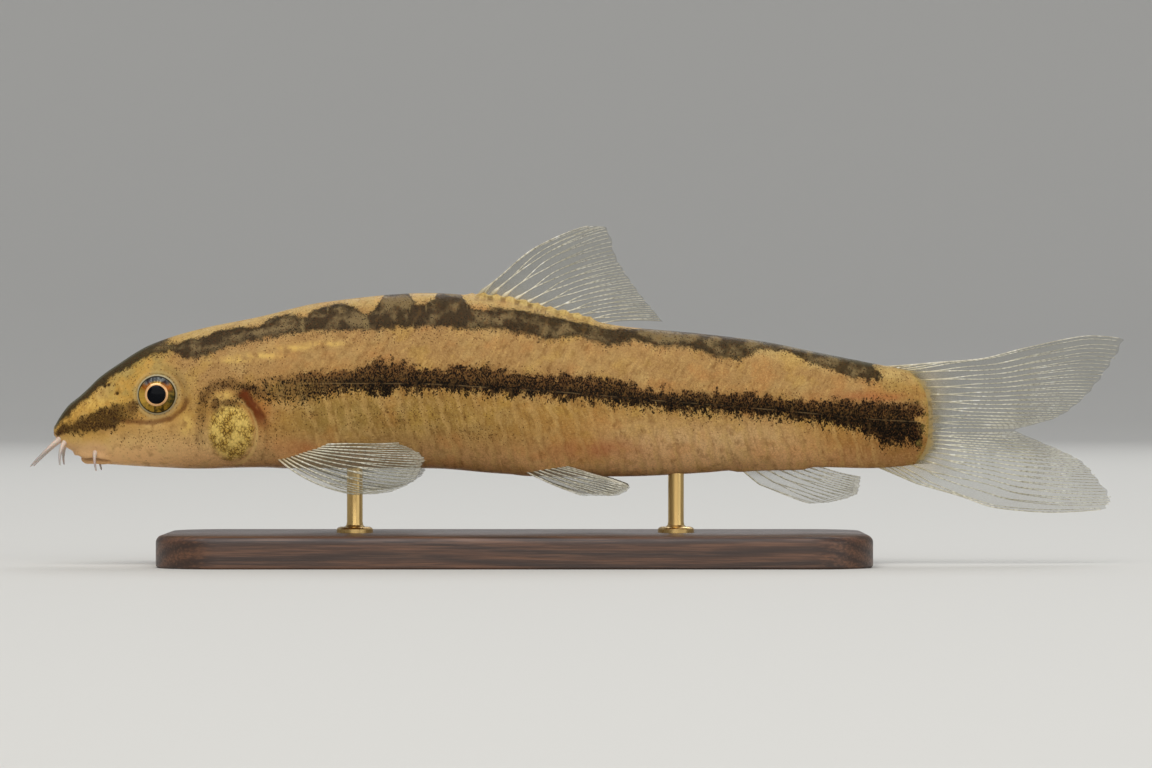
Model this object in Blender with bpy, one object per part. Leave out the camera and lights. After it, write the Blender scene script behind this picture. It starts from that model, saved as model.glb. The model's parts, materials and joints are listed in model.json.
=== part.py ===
"""Life-size still model of a two-striped loach, held over a plain display stand by two short rods.

The fish faces -X with its left side towards -Y, and +Z is up. The origin is the middle of the stand's
underside. Inside this file a place on the fish is (along, out, height) in millimetres: along is the
distance behind the snout tip, out is the distance to the right of the middle plane, and height is above the
snout tip.
"""

import math

import bmesh
import bpy
import numpy as np
from mathutils import Vector

MM = 0.001

# Main sizes in millimetres
STANDARD_LENGTH = 81.6
TOTAL_LENGTH = 100.6
SNOUT_ABOVE_FLOOR = 12.4
GAP = 0.3
LEFT, RIGHT = -1, 1

# The tail swings gently to the right behind this place
SWAY_START = 40.0
TAIL_SWAY = 3.0

# Along, back height, belly height, half width, where the widest line lies as a share of the depth, and how
# square the section is above and below that line (2 is an ellipse)
BODY_STATIONS = (
    (0.0, 0.60, -0.40, 0.50, 0.45, 2.0, 2.2),
    (0.4, 1.30, -0.95, 0.98, 0.44, 2.0, 2.3),
    (1.3, 2.52, -1.57, 1.52, 0.43, 2.0, 2.4),
    (2.3, 3.33, -2.04, 1.90, 0.42, 2.0, 2.5),
    (3.1, 4.06, -2.75, 2.15, 0.42, 2.0, 2.5),
    (4.1, 5.04, -2.93, 2.42, 0.42, 2.0, 2.5),
    (6.0, 6.40, -3.07, 2.88, 0.42, 2.0, 2.5),
    (8.8, 8.10, -3.24, 3.42, 0.42, 2.0, 2.5),
    (13.5, 9.61, -3.42, 4.10, 0.42, 2.0, 2.5),
    (19.0, 10.74, -3.30, 4.52, 0.43, 2.0, 2.5),
    (25.0, 12.11, -3.36, 4.72, 0.44, 2.0, 2.4),
    (35.0, 12.98, -3.40, 4.75, 0.45, 1.95, 2.3),
    (41.5, 12.43, -3.88, 4.60, 0.46, 1.95, 2.2),
    (47.1, 11.12, -4.18, 4.32, 0.47, 1.95, 2.2),
    (53.0, 9.88, -4.16, 3.92, 0.48, 1.95, 2.1),
    (60.2, 9.20, -3.84, 3.42, 0.49, 1.95, 2.1),
    (66.0, 8.48, -3.38, 2.95, 0.50, 1.95, 2.0),
    (71.4, 7.40, -3.30, 2.42, 0.50, 1.95, 2.0),
    (76.0, 6.50, -3.40, 1.85, 0.50, 1.95, 2.0),
    (79.3, 5.85, -3.20, 1.30, 0.50, 2.0, 2.0),
    (81.6, 5.20, -2.80, 0.90, 0.50, 2.0, 2.0),
)
RING_SIDES = 36
HEAD_RINGS = 20
SNOUT_CROWDING = 1.9
TRUNK_RINGS = 18
TAIL_RINGS = 9

# Height and along of the line behind the gill covers where the head meets the trunk
GILL_LINE = ((-4.2, 18.6), (-1.7, 19.7), (0.2, 19.9), (2.0, 19.3), (3.9, 18.1), (6.7, 17.6), (12.0, 17.8))
VENT = 62.6
TAIL_MIDDLE_HEIGHT = 1.1
TAIL_HALF_DEPTH = 4.9
TAIL_CORNER = 2.4
TAIL_ROUNDING = 3.2
SHARP_ANGLE = math.radians(50)

# Eyes
EYE_ALONG = 9.75
EYE_HEIGHT = 3.5
EYE_RADIUS = 1.95
EYE_HALF_THICKNESS = 1.25
EYE_SUNK = 0.72

# Gill covers
COVER_ALONG = 16.7
COVER_HEIGHT = 0.15
COVER_HALF_LENGTH = 2.3
COVER_HALF_HEIGHT = 2.95
COVER_LIFT = 0.22
COVER_RIM_LIFT = 0.06
COVER_ROOM_LIFT = 1.5
COVER_DEPTH = 0.75

# Mouth, with the lower jaw parted from the head
JAW_CENTRE_ALONG = 4.4
JAW_REACH = 1.95
JAW_HALF_WIDTH = 1.55
JAW_REAR = 6.4
JAW_TOP = -2.05
JAW_ROOM_DEPTH = 4.0
UPPER_LIP_REACH = 2.5
UPPER_LIP_HALF_WIDTH = 1.85
UPPER_LIP_HEIGHT = -1.82
UPPER_LIP_RADIUS = 0.36
UPPER_LIP_SWEEP = 1.5
UPPER_LIP_END_SHARE = 0.55
LOWER_LIP_REACH = 1.62
LOWER_LIP_HALF_WIDTH = 1.25
LOWER_LIP_HEIGHT = -2.42
LOWER_LIP_RADIUS = 0.40
LOWER_LIP_SWEEP = 1.2
LOWER_LIP_END_SHARE = 0.6
LIP_SIDES = 8

# Nostrils, each a short tube with a pit
NOSTRIL_ALONG = 5.7
NOSTRIL_HEIGHT = 4.0
NOSTRIL_RADIUS = 0.45
NOSTRIL_PIT_RADIUS = 0.22
NOSTRIL_TALL = 0.32
NOSTRIL_ROOT_DEPTH = 0.8
NOSTRIL_PIT_DEPTH = 0.5
NOSTRIL_PIT_TOP = 1.0
NOSTRIL_SIDES = 10

# Barbels: name, root along and height on the skin, tip (along, out, height) and root radius. Each pair is
# mirrored.
BARBELS = (
    ("barbel_front", 0.45, -0.70, (-2.15, 1.5, -3.2), 0.30),
    ("barbel_middle", 0.95, -0.98, (0.65, 2.2, -3.1), 0.30),
    ("barbel_mouth_corner", 3.90, -1.85, (4.1, 3.0, -3.6), 0.28),
)
BARBEL_LIFT = 0.42
BARBEL_START = GAP + 0.04
BARBEL_TIP_RADIUS = 0.09
BARBEL_SIDES = 8
BARBEL_RINGS = 7

# Fins
FIN_HALF_THICKNESS = 0.25
FIN_ROOT_EXTRA = 0.15
FIN_TIP_SHARE = 0.6
FIN_ROOT_DEPTH = 0.5
PAIRED_ROOT_DEPTH = 0.9
RAY_RIDGE = 0.17
RIDGE_TIP_SHARE = 0.75
RIDGE_HALF_WIDTH = 0.3

# Stand
BASE_CENTRE_ALONG = 43.0
BASE_LENGTH = 66.0
BASE_WIDTH = 28.0
BASE_THICKNESS = 3.0
BASE_CORNER = 6.0
BASE_BEVEL = 0.5
ROD_RADIUS = 0.75
ROD_ALONGS = {"stand_rod_front": 28.0, "stand_rod_rear": 58.0}
ROD_IN_BODY = 1.8
ROD_IN_BASE = 1.5
ROD_ROOM_BELOW_BELLY = 2.0
ROD_ROOM_ABOVE_BASE = 1.0

SKIN_TAN = (0.62, 0.43, 0.24)
SKIN_PALE = (0.72, 0.52, 0.36)
COVER_GOLD = (0.70, 0.55, 0.22)
FIN_CLEAR = (0.62, 0.60, 0.48)
EYE_DARK = (0.05, 0.045, 0.03)
BASE_WALNUT = (0.13, 0.07, 0.04)
ROD_BRASS = (0.72, 0.55, 0.28)


def smooth_through(rows):
    """A smooth function through rows of (knot, value, value, ...) that doesn't overshoot between them."""
    table = np.array(rows, float)
    knots, values = table[:, 0], table[:, 1:]
    width = np.diff(knots)[:, None]
    rise = np.diff(values, axis=0) / width
    before, after = rise[:-1], rise[1:]
    same_way = before * after > 0
    weight_before = 2 * width[1:] + width[:-1]
    weight_after = width[1:] + 2 * width[:-1]
    mean = np.where(
        same_way,
        (weight_before + weight_after)
        / (weight_before / np.where(same_way, before, 1) + weight_after / np.where(same_way, after, 1)),
        0,
    )
    slope = np.vstack([rise[:1], mean, rise[-1:]])

    def at(knot):
        i = int(np.clip(np.searchsorted(knots, knot) - 1, 0, len(knots) - 2))
        step = knots[i + 1] - knots[i]
        t = float(np.clip((knot - knots[i]) / step, 0, 1))
        return (
            values[i] * (1 + 2 * t) * (1 - t) ** 2
            + values[i + 1] * t * t * (3 - 2 * t)
            + slope[i] * step * t * (1 - t) ** 2
            - slope[i + 1] * step * t * t * (1 - t)
        )

    return at


section_at = smooth_through(BODY_STATIONS)
gill_line_at = smooth_through(GILL_LINE)


def gill_line(height):
    return float(gill_line_at(height)[0])


def tail_line(height):
    """Where the flesh of the tail ends, as seen from the side."""
    reach = min(1.0, abs(height - TAIL_MIDDLE_HEIGHT) / TAIL_HALF_DEPTH)
    return STANDARD_LENGTH - TAIL_CORNER * reach**TAIL_ROUNDING


def sway(along):
    swing = max(0.0, (along - SWAY_START) / (TOTAL_LENGTH - SWAY_START))
    return TAIL_SWAY * swing * swing


def place(along, out, height):
    """A place on the fish as a point in metres."""
    return Vector((along - BASE_CENTRE_ALONG, out + sway(along), height + SNOUT_ABOVE_FLOOR)) * MM


def body_point(along, angle, grown=0.0):
    """The place on the skin at this angle round the section: 0 is the right side, a quarter turn the back."""
    back, belly, half_width, share, square_above, square_below = section_at(along)
    back, belly, half_width = back + grown, belly - grown, half_width + grown
    widest = belly + share * (back - belly)
    across, up = math.cos(angle), math.sin(angle)
    reach, square = (back - widest, square_above) if up >= 0 else (widest - belly, square_below)
    out = math.copysign(half_width * abs(across) ** (2 / square), across)
    height = widest + math.copysign(reach * abs(up) ** (2 / square), up)
    return along, out, height


def side_out(along, height):
    """How far the skin is from the middle plane at this height."""
    back, belly, half_width, share, square_above, square_below = section_at(along)
    widest = belly + share * (back - belly)
    reach, square = (back - widest, square_above) if height >= widest else (belly - widest, square_below)
    level = min(1.0, max(0.0, (height - widest) / reach))
    return half_width * (1 - level**square) ** (1 / square)


def skin_frame(along, height, side):
    """The place on the skin and its outward normal there."""
    step = 0.05
    slope_along = (side_out(along + step, height) - side_out(along - step, height)) / (2 * step)
    slope_height = (side_out(along, height + step) - side_out(along, height - step)) / (2 * step)
    normal = Vector((-slope_along, 1.0, -slope_height)).normalized()
    spot = Vector((along, side * side_out(along, height), height))
    return spot, Vector((normal.x, side * normal.y, normal.z))


def material(name, colour, roughness, metallic=0.0):
    made = bpy.data.materials.get(name)
    if made is None:
        made = bpy.data.materials.new(name)
        made.use_nodes = True
        shader = made.node_tree.nodes["Principled BSDF"]
        shader.inputs["Base Color"].default_value = (*colour, 1)
        shader.inputs["Roughness"].default_value = roughness
        shader.inputs["Metallic"].default_value = metallic
    return made


def add_object(name, points, faces, finish=None):
    """A mesh object from places on the fish, with its faces turned outwards."""
    mesh = bpy.data.meshes.new(name)
    mesh.from_pydata([place(*point) for point in points], [], faces)
    shape = bmesh.new()
    shape.from_mesh(mesh)
    bmesh.ops.recalc_face_normals(shape, faces=shape.faces)
    shape.to_mesh(mesh)
    shape.free()
    made = bpy.data.objects.new(name, mesh)
    bpy.context.scene.collection.objects.link(made)
    if finish:
        mesh.materials.append(finish)
    mesh.shade_smooth()
    mesh.set_sharp_from_angle(angle=SHARP_ANGLE)
    return made


def keep_largest(mesh):
    """Drops all but the closed surface that holds the most."""
    shape = bmesh.new()
    shape.from_mesh(mesh)
    shape.faces.ensure_lookup_table()
    islands, seen = [], set()
    for face in shape.faces:
        if face in seen:
            continue
        island, waiting = [], [face]
        seen.add(face)
        while waiting:
            current = waiting.pop()
            island.append(current)
            for edge in current.edges:
                for neighbour in edge.link_faces:
                    if neighbour not in seen:
                        seen.add(neighbour)
                        waiting.append(neighbour)
        islands.append(island)
    islands.sort(key=lambda island: sum(f.calc_area() for f in island))
    for island in islands[:-1]:
        bmesh.ops.delete(shape, geom=island, context="FACES")
    shape.to_mesh(mesh)
    shape.free()


def combine(target, tools, operation):
    """Joins the tools to the target or cuts them from it, in one Boolean, and removes them."""
    group = bpy.data.collections.new("tools")
    for tool in tools:
        group.objects.link(tool)
    modifier = target.modifiers.new("combine", "BOOLEAN")
    modifier.operation = operation
    modifier.operand_type = "COLLECTION"
    modifier.collection = group
    modifier.solver = "EXACT"
    graph = bpy.context.evaluated_depsgraph_get()
    graph.update()
    result = bpy.data.meshes.new_from_object(target.evaluated_get(graph))
    target.modifiers.clear()
    result.name = target.name
    target.data = result
    for tool in tools:
        bpy.data.objects.remove(tool)
    bpy.data.collections.remove(group)
    keep_largest(result)
    return target


def ring_at(line, grown=0.0):
    """One ring of places round the body, where along follows the line at each height."""
    ring = []
    for step in range(RING_SIDES):
        angle = -math.pi / 2 + 2 * math.pi * step / RING_SIDES
        height = 0.0
        for _ in range(6):
            point = body_point(line(height), angle, grown)
            height = point[2]
        ring.append(point)
    return ring


def ring_cap(first):
    """Faces that close a ring straight across from side to side."""
    half = RING_SIDES // 2
    faces = [(first, first + 1, first + RING_SIDES - 1)]
    for step in range(1, half - 1):
        right, left = first + step, first + RING_SIDES - step
        faces.append((right, right + 1, left - 1, left))
    faces.append((first + half - 1, first + half, first + half + 1))
    return faces


def body_length(name, front, rear, shares, finish=None, grown=0.0):
    """A closed length of the body between two lines, each given as along at a height, grown all round."""
    points, faces = [], []
    for share in shares:
        line = lambda height, share=share: front(height) + share * (rear(height) - front(height))
        points += ring_at(line, grown)
    for row in range(len(shares) - 1):
        for step in range(RING_SIDES):
            turn = (step + 1) % RING_SIDES
            here, there = row * RING_SIDES, (row + 1) * RING_SIDES
            faces.append((here + step, here + turn, there + turn, there + step))
    faces += ring_cap(0) + ring_cap((len(shares) - 1) * RING_SIDES)
    return add_object(name, points, faces, finish)


def even_shares(count):
    return [step / (count - 1) for step in range(count)]


def crowded_shares(count):
    """Shares from 0 to 1 that lie closer together near 0."""
    return [(step / (count - 1)) ** SNOUT_CROWDING for step in range(count)]


def ellipsoid(name, centre, radii, finish=None, segments=20, rings=12):
    """A closed ellipsoid with its poles to the left and right."""
    points, faces = [], []
    for ring in range(1, rings):
        polar = math.pi * ring / rings
        for step in range(segments):
            turn = 2 * math.pi * step / segments
            points.append(
                (
                    centre[0] + radii[0] * math.sin(polar) * math.cos(turn),
                    centre[1] + radii[1] * math.cos(polar),
                    centre[2] + radii[2] * math.sin(polar) * math.sin(turn),
                )
            )
    points += [(centre[0], centre[1] + radii[1], centre[2]), (centre[0], centre[1] - radii[1], centre[2])]
    right_pole, left_pole = len(points) - 2, len(points) - 1
    for step in range(segments):
        turn = (step + 1) % segments
        last = (rings - 2) * segments
        faces += [(right_pole, step, turn), (left_pole, last + turn, last + step)]
        for ring in range(rings - 2):
            here, there = ring * segments, (ring + 1) * segments
            faces.append((here + step, there + step, there + turn, here + turn))
    return add_object(name, points, faces, finish)


def tube(name, path, radius, sides, rings, finish=None):
    """A closed round tube. Path and radius are functions of a share from 0 to 1."""
    centres = [Vector(path(ring / (rings - 1))) for ring in range(rings)]
    points, faces = [], []
    for ring, centre in enumerate(centres):
        ahead, behind = centres[min(ring + 1, rings - 1)], centres[max(ring - 1, 0)]
        direction = (ahead - behind).normalized()
        across = direction.cross(Vector((0.31, 0.2, 0.93))).normalized()
        up = direction.cross(across)
        size = radius(ring / (rings - 1))
        for step in range(sides):
            turn = 2 * math.pi * step / sides
            points.append(centre + size * (math.cos(turn) * across + math.sin(turn) * up))
    for ring in range(rings - 1):
        for step in range(sides):
            turn = (step + 1) % sides
            here, there = ring * sides, (ring + 1) * sides
            faces.append((here + step, here + turn, there + turn, there + step))
    faces += [tuple(range(sides))[::-1], tuple(range((rings - 1) * sides, rings * sides))]
    return add_object(name, points, faces, finish)


def bend_through(start, middle, end):
    """A curve from start to end that is pulled towards the middle."""
    start, middle, end = Vector(start), Vector(middle), Vector(end)
    return lambda share: (1 - share) ** 2 * start + 2 * share * (1 - share) * middle + share * share * end


def mouth_arc(reach, half_width, height, sweep):
    """A horseshoe round the front of the mouth."""

    def path(share):
        turn = (2 * share - 1) * sweep
        return JAW_CENTRE_ALONG - reach * math.cos(turn), half_width * math.sin(turn), height

    return path


def lip_radius(middle, end_share):
    """A lip's radius, thickest at the front and thinner towards the corners of the mouth."""
    return lambda share: middle * (end_share + (1 - end_share) * math.sin(math.pi * share))


def jaw_block(name, grown):
    """The room of the lower jaw: a tongue shape seen from below, grown by this much all round."""
    steps = 14
    outline = []
    for step in range(steps + 1):
        turn = math.pi * (step / steps - 0.5)
        outline.append(
            (
                JAW_CENTRE_ALONG - (JAW_REACH + grown) * math.cos(turn),
                (JAW_HALF_WIDTH + grown) * math.sin(turn),
            )
        )
    outline += [(JAW_REAR + grown, JAW_HALF_WIDTH + grown), (JAW_REAR + grown, -JAW_HALF_WIDTH - grown)]
    count = len(outline)
    below = JAW_TOP - JAW_ROOM_DEPTH
    points = [(*spot, JAW_TOP + grown) for spot in outline] + [(*spot, below) for spot in outline]
    faces = [tuple(range(count)), tuple(range(2 * count - 1, count - 1, -1))]
    for step in range(count):
        turn = (step + 1) % count
        faces.append((step, turn, count + turn, count + step))
    return add_object(name, points, faces)


def cover_solid(name, side, grown, outer_lift, inner_depth, finish=None):
    """An oval plate that follows the skin of the cheek, with its thickness along the skin's normal."""
    rings, spokes = 5, 24
    layers = []
    for lift in (outer_lift, lambda share: -inner_depth):
        layer = []
        for ring in range(rings + 1):
            share = ring / rings
            for spoke in range(spokes if ring else 1):
                turn = 2 * math.pi * spoke / spokes
                along = COVER_ALONG + (COVER_HALF_LENGTH + grown) * share * math.cos(turn)
                height = COVER_HEIGHT + (COVER_HALF_HEIGHT + grown) * share * math.sin(turn)
                spot, normal = skin_frame(along, height, side)
                layer.append(spot + lift(share) * normal)
        layers.append(layer)
    size = len(layers[0])
    faces = []
    for layer in range(2):
        first = layer * size
        for spoke in range(spokes):
            turn = (spoke + 1) % spokes
            faces.append((first, first + 1 + spoke, first + 1 + turn))
            for ring in range(rings - 1):
                here, there = first + 1 + ring * spokes, first + 1 + (ring + 1) * spokes
                faces.append((here + spoke, there + spoke, there + turn, here + turn))
    rim = 1 + (rings - 1) * spokes
    for spoke in range(spokes):
        turn = (spoke + 1) % spokes
        faces.append((rim + spoke, rim + turn, size + rim + turn, size + rim + spoke))
    return add_object(name, layers[0] + layers[1], faces, finish)


def eye_centre(side):
    return EYE_ALONG, side * (side_out(EYE_ALONG, EYE_HEIGHT) - EYE_SUNK), EYE_HEIGHT


def make_eyes():
    for name, side in (("eye_left", LEFT), ("eye_right", RIGHT)):
        radii = (EYE_RADIUS, EYE_HALF_THICKNESS, EYE_RADIUS)
        ellipsoid(name, eye_centre(side), radii, material("eye", EYE_DARK, 0.1))


def make_gill_covers():
    for name, side in (("gill_cover_left", LEFT), ("gill_cover_right", RIGHT)):
        finish = material("gill_cover", COVER_GOLD, 0.4)
        lift = lambda share: COVER_LIFT * (1 - share**4) + COVER_RIM_LIFT
        cover_solid(name, side, 0.0, lift, COVER_DEPTH, finish)


def nostril_tube(name, side, radius, low, high):
    spot, normal = skin_frame(NOSTRIL_ALONG, NOSTRIL_HEIGHT, side)
    path = lambda share: spot + (low + (high - low) * share) * normal
    return tube(name, path, lambda share: radius, NOSTRIL_SIDES, 2)


def make_head():
    skin = material("skin", SKIN_TAN, 0.45)
    head = body_length("head", lambda height: 0.0, gill_line, crowded_shares(HEAD_RINGS), skin)
    lip_path = mouth_arc(UPPER_LIP_REACH, UPPER_LIP_HALF_WIDTH, UPPER_LIP_HEIGHT, UPPER_LIP_SWEEP)
    lip_size = lip_radius(UPPER_LIP_RADIUS, UPPER_LIP_END_SHARE)
    joined = [tube("upper_lip", lip_path, lip_size, LIP_SIDES, rings=15)]
    for side in (LEFT, RIGHT):
        joined.append(nostril_tube("nostril", side, NOSTRIL_RADIUS, -NOSTRIL_ROOT_DEPTH, NOSTRIL_TALL))
    combine(head, joined, "UNION")
    socket = tuple(radius + GAP for radius in (EYE_RADIUS, EYE_HALF_THICKNESS, EYE_RADIUS))
    cut = [jaw_block("jaw_room", GAP)]
    for side in (LEFT, RIGHT):
        cut.append(ellipsoid("socket", eye_centre(side), socket))
        cut.append(cover_solid("cover_room", side, GAP, lambda share: COVER_ROOM_LIFT, COVER_DEPTH + GAP))
        cut.append(nostril_tube("pit", side, NOSTRIL_PIT_RADIUS, -NOSTRIL_PIT_DEPTH, NOSTRIL_PIT_TOP))
    return combine(head, cut, "DIFFERENCE")


def make_lower_jaw():
    pale = material("belly_skin", SKIN_PALE, 0.45)
    jaw = body_length("lower_jaw", lambda height: 0.0, gill_line, crowded_shares(HEAD_RINGS), pale)
    combine(jaw, [jaw_block("jaw_room", 0.0)], "INTERSECT")
    lip_path = mouth_arc(LOWER_LIP_REACH, LOWER_LIP_HALF_WIDTH, LOWER_LIP_HEIGHT, LOWER_LIP_SWEEP)
    lip_size = lip_radius(LOWER_LIP_RADIUS, LOWER_LIP_END_SHARE)
    return combine(jaw, [tube("lower_lip", lip_path, lip_size, LIP_SIDES, rings=11)], "UNION")


def rod_between(name, along, low, high, radius, sides=16, finish=None):
    path = lambda share: (along, 0.0, low + (high - low) * share)
    return tube(name, path, lambda share: radius, sides, 2, finish)


def make_trunk():
    skin = material("skin", SKIN_TAN, 0.45)
    front = lambda height: gill_line(height) + GAP
    trunk = body_length("trunk", front, lambda height: VENT - GAP / 2, even_shares(TRUNK_RINGS), skin)
    cut = []
    for along in ROD_ALONGS.values():
        low, high = belly_of(along) - ROD_ROOM_BELOW_BELLY, belly_of(along) + ROD_IN_BODY + GAP
        cut.append(rod_between("rod_room", along, low, high, ROD_RADIUS + GAP))
    return combine(trunk, cut, "DIFFERENCE")


def make_tail_stalk():
    skin = material("skin", SKIN_TAN, 0.45)
    front = lambda height: VENT + GAP / 2
    return body_length("tail_stalk", front, tail_line, even_shares(TAIL_RINGS), skin)


def make_barbels():
    """Each barbel leaves the skin squarely, then bends to its tip."""
    finish = material("barbel", SKIN_PALE, 0.4)
    for stem, along, height, tip, radius in BARBELS:
        for suffix, side in (("left", LEFT), ("right", RIGHT)):
            spot, normal = skin_frame(along, height, side)
            end = Vector((tip[0], side * tip[1], tip[2]))
            start = spot + BARBEL_START * normal
            bend = start + BARBEL_LIFT * (end - start).length * normal
            tube(
                f"{stem}_{suffix}",
                bend_through(start, bend, end),
                lambda share, radius=radius: radius + (BARBEL_TIP_RADIUS - radius) * share**0.8,
                BARBEL_SIDES,
                BARBEL_RINGS,
                finish,
            )


def half_thickness(share, on_ray):
    """Half of a fin's thickness at a share of the way from its root to its tip."""
    web = FIN_HALF_THICKNESS * (1 - (1 - FIN_TIP_SHARE) * share**2) + FIN_ROOT_EXTRA * (1 - share) ** 3
    return web + on_ray * RAY_RIDGE * (1 - (1 - RIDGE_TIP_SHARE) * share)


def ray_columns(rays):
    """The columns of a fin's grid as (share, on a ray): each ray's crest and the two edges of each web."""
    spacing = 1 / (rays - 1)
    columns = []
    for ray in range(rays):
        if ray:
            columns.append((spacing * (ray - RIDGE_HALF_WIDTH), False))
        columns.append((spacing * ray, True))
        if ray < rays - 1:
            columns.append((spacing * (ray + RIDGE_HALF_WIDTH), False))
    return columns


def flat_normal(grid):
    """The normal of the plane that lies nearest a whole fin."""
    total = Vector((0, 0, 0))
    for before, after in zip(grid, grid[1:]):
        total += (after[-1] - before[0]).cross(before[-1] - after[0])
    return total.normalized()


def grid_normal(grid, flat, column, row):
    """A fin's normal at one place, drawn half way to that of its plane so that thin corners don't twist."""
    across = grid[min(column + 1, len(grid) - 1)][row] - grid[max(column - 1, 0)][row]
    along = grid[column][min(row + 1, len(grid[0]) - 1)] - grid[column][max(row - 1, 0)]
    local = across.cross(along).normalized()
    return (flat + math.copysign(1.0, local.dot(flat)) * local).normalized()


def fin(name, root, tip, bow, rays, rows):
    """A fin with rays raised as ridges. Root, tip and bow are functions of a share from first to last ray.

    Bow moves the middle of the longest ray aside, and that of a shorter one less. Both faces are cut into
    triangles alike, so that they can't cross, and the root is cut to follow the body.
    """
    layout = ray_columns(rays)
    columns = len(layout)
    longest = max((Vector(tip(share)) - Vector(root(share))).length for share, _ in layout)
    grid = []
    for share, _ in layout:
        start, end = Vector(root(share)), Vector(tip(share))
        middle = (start + end) / 2 + 2 * ((end - start).length / longest) ** 2 * Vector(bow(share))
        curve = bend_through(start, middle, end)
        grid.append([curve(row / (rows - 1)) for row in range(rows)])
    flat = flat_normal(grid)
    points = []
    for face_side in (1, -1):
        for column in range(columns):
            for row in range(rows):
                thick = half_thickness(row / (rows - 1), layout[column][1])
                points.append(grid[column][row] + face_side * thick * grid_normal(grid, flat, column, row))
    size = columns * rows
    faces = []
    for column in range(columns - 1):
        for row in range(rows - 1):
            for layer in (0, size):
                near, far = layer + column * rows + row, layer + (column + 1) * rows + row
                faces += [(near, far, far + 1), (near, far + 1, near + 1)]
    rim = [column * rows for column in range(columns)]
    rim += [(columns - 1) * rows + row for row in range(1, rows)]
    rim += [column * rows + rows - 1 for column in range(columns - 2, -1, -1)]
    rim += list(range(rows - 2, 0, -1))
    for here, there in zip(rim, rim[1:] + rim[:1]):
        faces += [(here, there, size + there), (here, size + there, size + here)]
    made = add_object(name, points, faces, material("fin", FIN_CLEAR, 0.3))
    return combine(made, [room_for_body()], "DIFFERENCE")


def curve_through(rows):
    """A smooth curve through places, given with the share at which each is reached."""
    through = smooth_through(rows)
    return lambda share: tuple(float(value) for value in through(share))


# Dorsal fin: its root on the back, and the place of ray tips as (share, along, out, height)
DORSAL_ROOT = (39.0, 49.8)
DORSAL_RAYS = 12
DORSAL_ROWS = 7
DORSAL_BOW = (-0.9, 0.25, 0.75)
DORSAL_TIPS = (
    (0.0, 41.3, 0.0, 14.3),
    (0.09, 45.0, 0.0, 17.3),
    (0.18, 50.0, 0.0, 19.25),
    (0.25, 51.5, 0.0, 19.2),
    (0.45, 52.7, 0.0, 16.2),
    (0.7, 54.6, 0.0, 13.2),
    (1.0, 56.9, 0.0, 10.3),
)

# Anal fin
ANAL_ROOT = (63.6, 69.9)
ANAL_RAYS = 8
ANAL_ROWS = 6
ANAL_BOW = (0.0, 0.1, -0.25)
ANAL_TIPS = (
    (0.0, 65.8, 0.0, -4.9),
    (0.2, 70.9, 0.0, -6.7),
    (0.6, 75.2, 0.0, -5.7),
    (1.0, 75.4, 0.0, -4.2),
)

# Tail fin, in two lobes
LOBE_RAYS = 10
LOBE_ROWS = 9
LOBE_ROOT_START = 76.0
LOBE_ROOT_TURN = 0.11
LOBE_BOW = 0.55
FORK_HEIGHT = 0.15
FORK_HALF_GAP = 0.6 * GAP
UPPER_LOBE_TIPS = (
    (0.0, 82.6, 0.0, 6.5),
    (0.055, 86.4, 0.0, 6.8),
    (0.11, 91.0, 0.0, 7.9),
    (0.17, 97.0, 0.0, 9.0),
    (0.23, 100.5, 0.0, 8.5),
    (0.33, 99.6, 0.0, 7.0),
    (0.5, 97.9, 0.0, 4.6),
    (0.65, 96.2, 0.0, 2.8),
    (0.8, 94.0, 0.0, 1.35),
    (1.0, 89.9, 0.0, 0.33),
)
LOWER_LOBE_TIPS = (
    (0.0, 80.5, 0.0, -4.8),
    (0.055, 84.5, 0.0, -5.95),
    (0.11, 88.3, 0.0, -7.15),
    (0.17, 93.5, 0.0, -7.55),
    (0.23, 98.8, 0.0, -7.15),
    (0.33, 99.1, 0.0, -6.2),
    (0.5, 97.7, 0.0, -4.2),
    (0.65, 96.4, 0.0, -2.8),
    (0.8, 94.2, 0.0, -1.7),
    (1.0, 89.9, 0.0, -0.05),
)

# Paired fins, as the right-hand one: root from the first ray to the last as along and height on the skin,
# how the first and last rays bow, and the ray tips
PECTORAL_RAYS = 12
PECTORAL_ROWS = 8
PECTORAL_ROOT = ((20.4, -2.75), (23.2, -1.7))
PECTORAL_BOWS = ((-0.5, 0.7, -0.85), (0.3, 0.5, 0.0))
PECTORAL_TIPS = (
    (0.0, 28.8, 10.8, -5.7),
    (0.15, 31.4, 10.6, -5.5),
    (0.4, 34.4, 9.2, -4.0),
    (0.7, 34.9, 7.4, -2.4),
    (1.0, 32.3, 6.2, -0.9),
)
PELVIC_RAYS = 8
PELVIC_ROWS = 6
PELVIC_ROOT = ((42.6, -3.85), (45.6, -3.3))
PELVIC_BOWS = ((0.0, 0.3, -0.3), (0.1, 0.2, 0.0))
PELVIC_TIPS = (
    (0.0, 49.4, 4.8, -5.9),
    (0.2, 52.2, 4.8, -5.9),
    (0.6, 53.8, 4.1, -5.1),
    (1.0, 52.2, 3.5, -4.4),
)


def back_of(along):
    return float(section_at(along)[0])


def belly_of(along):
    return float(section_at(along)[1])


def room_for_body():
    """The whole body grown by the gap, for cutting the fins' roots."""
    front, rear = (lambda height: 0.0), (lambda height: tail_line(height) + GAP)
    return body_length("body_room", front, rear, even_shares(HEAD_RINGS + TRUNK_RINGS), grown=GAP)


def make_dorsal_fin():
    def root(share):
        along = DORSAL_ROOT[0] + share * (DORSAL_ROOT[1] - DORSAL_ROOT[0])
        return along, 0.0, back_of(along) - FIN_ROOT_DEPTH

    bow = lambda share: DORSAL_BOW
    fin("dorsal_fin", root, curve_through(DORSAL_TIPS), bow, DORSAL_RAYS, DORSAL_ROWS)


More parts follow.
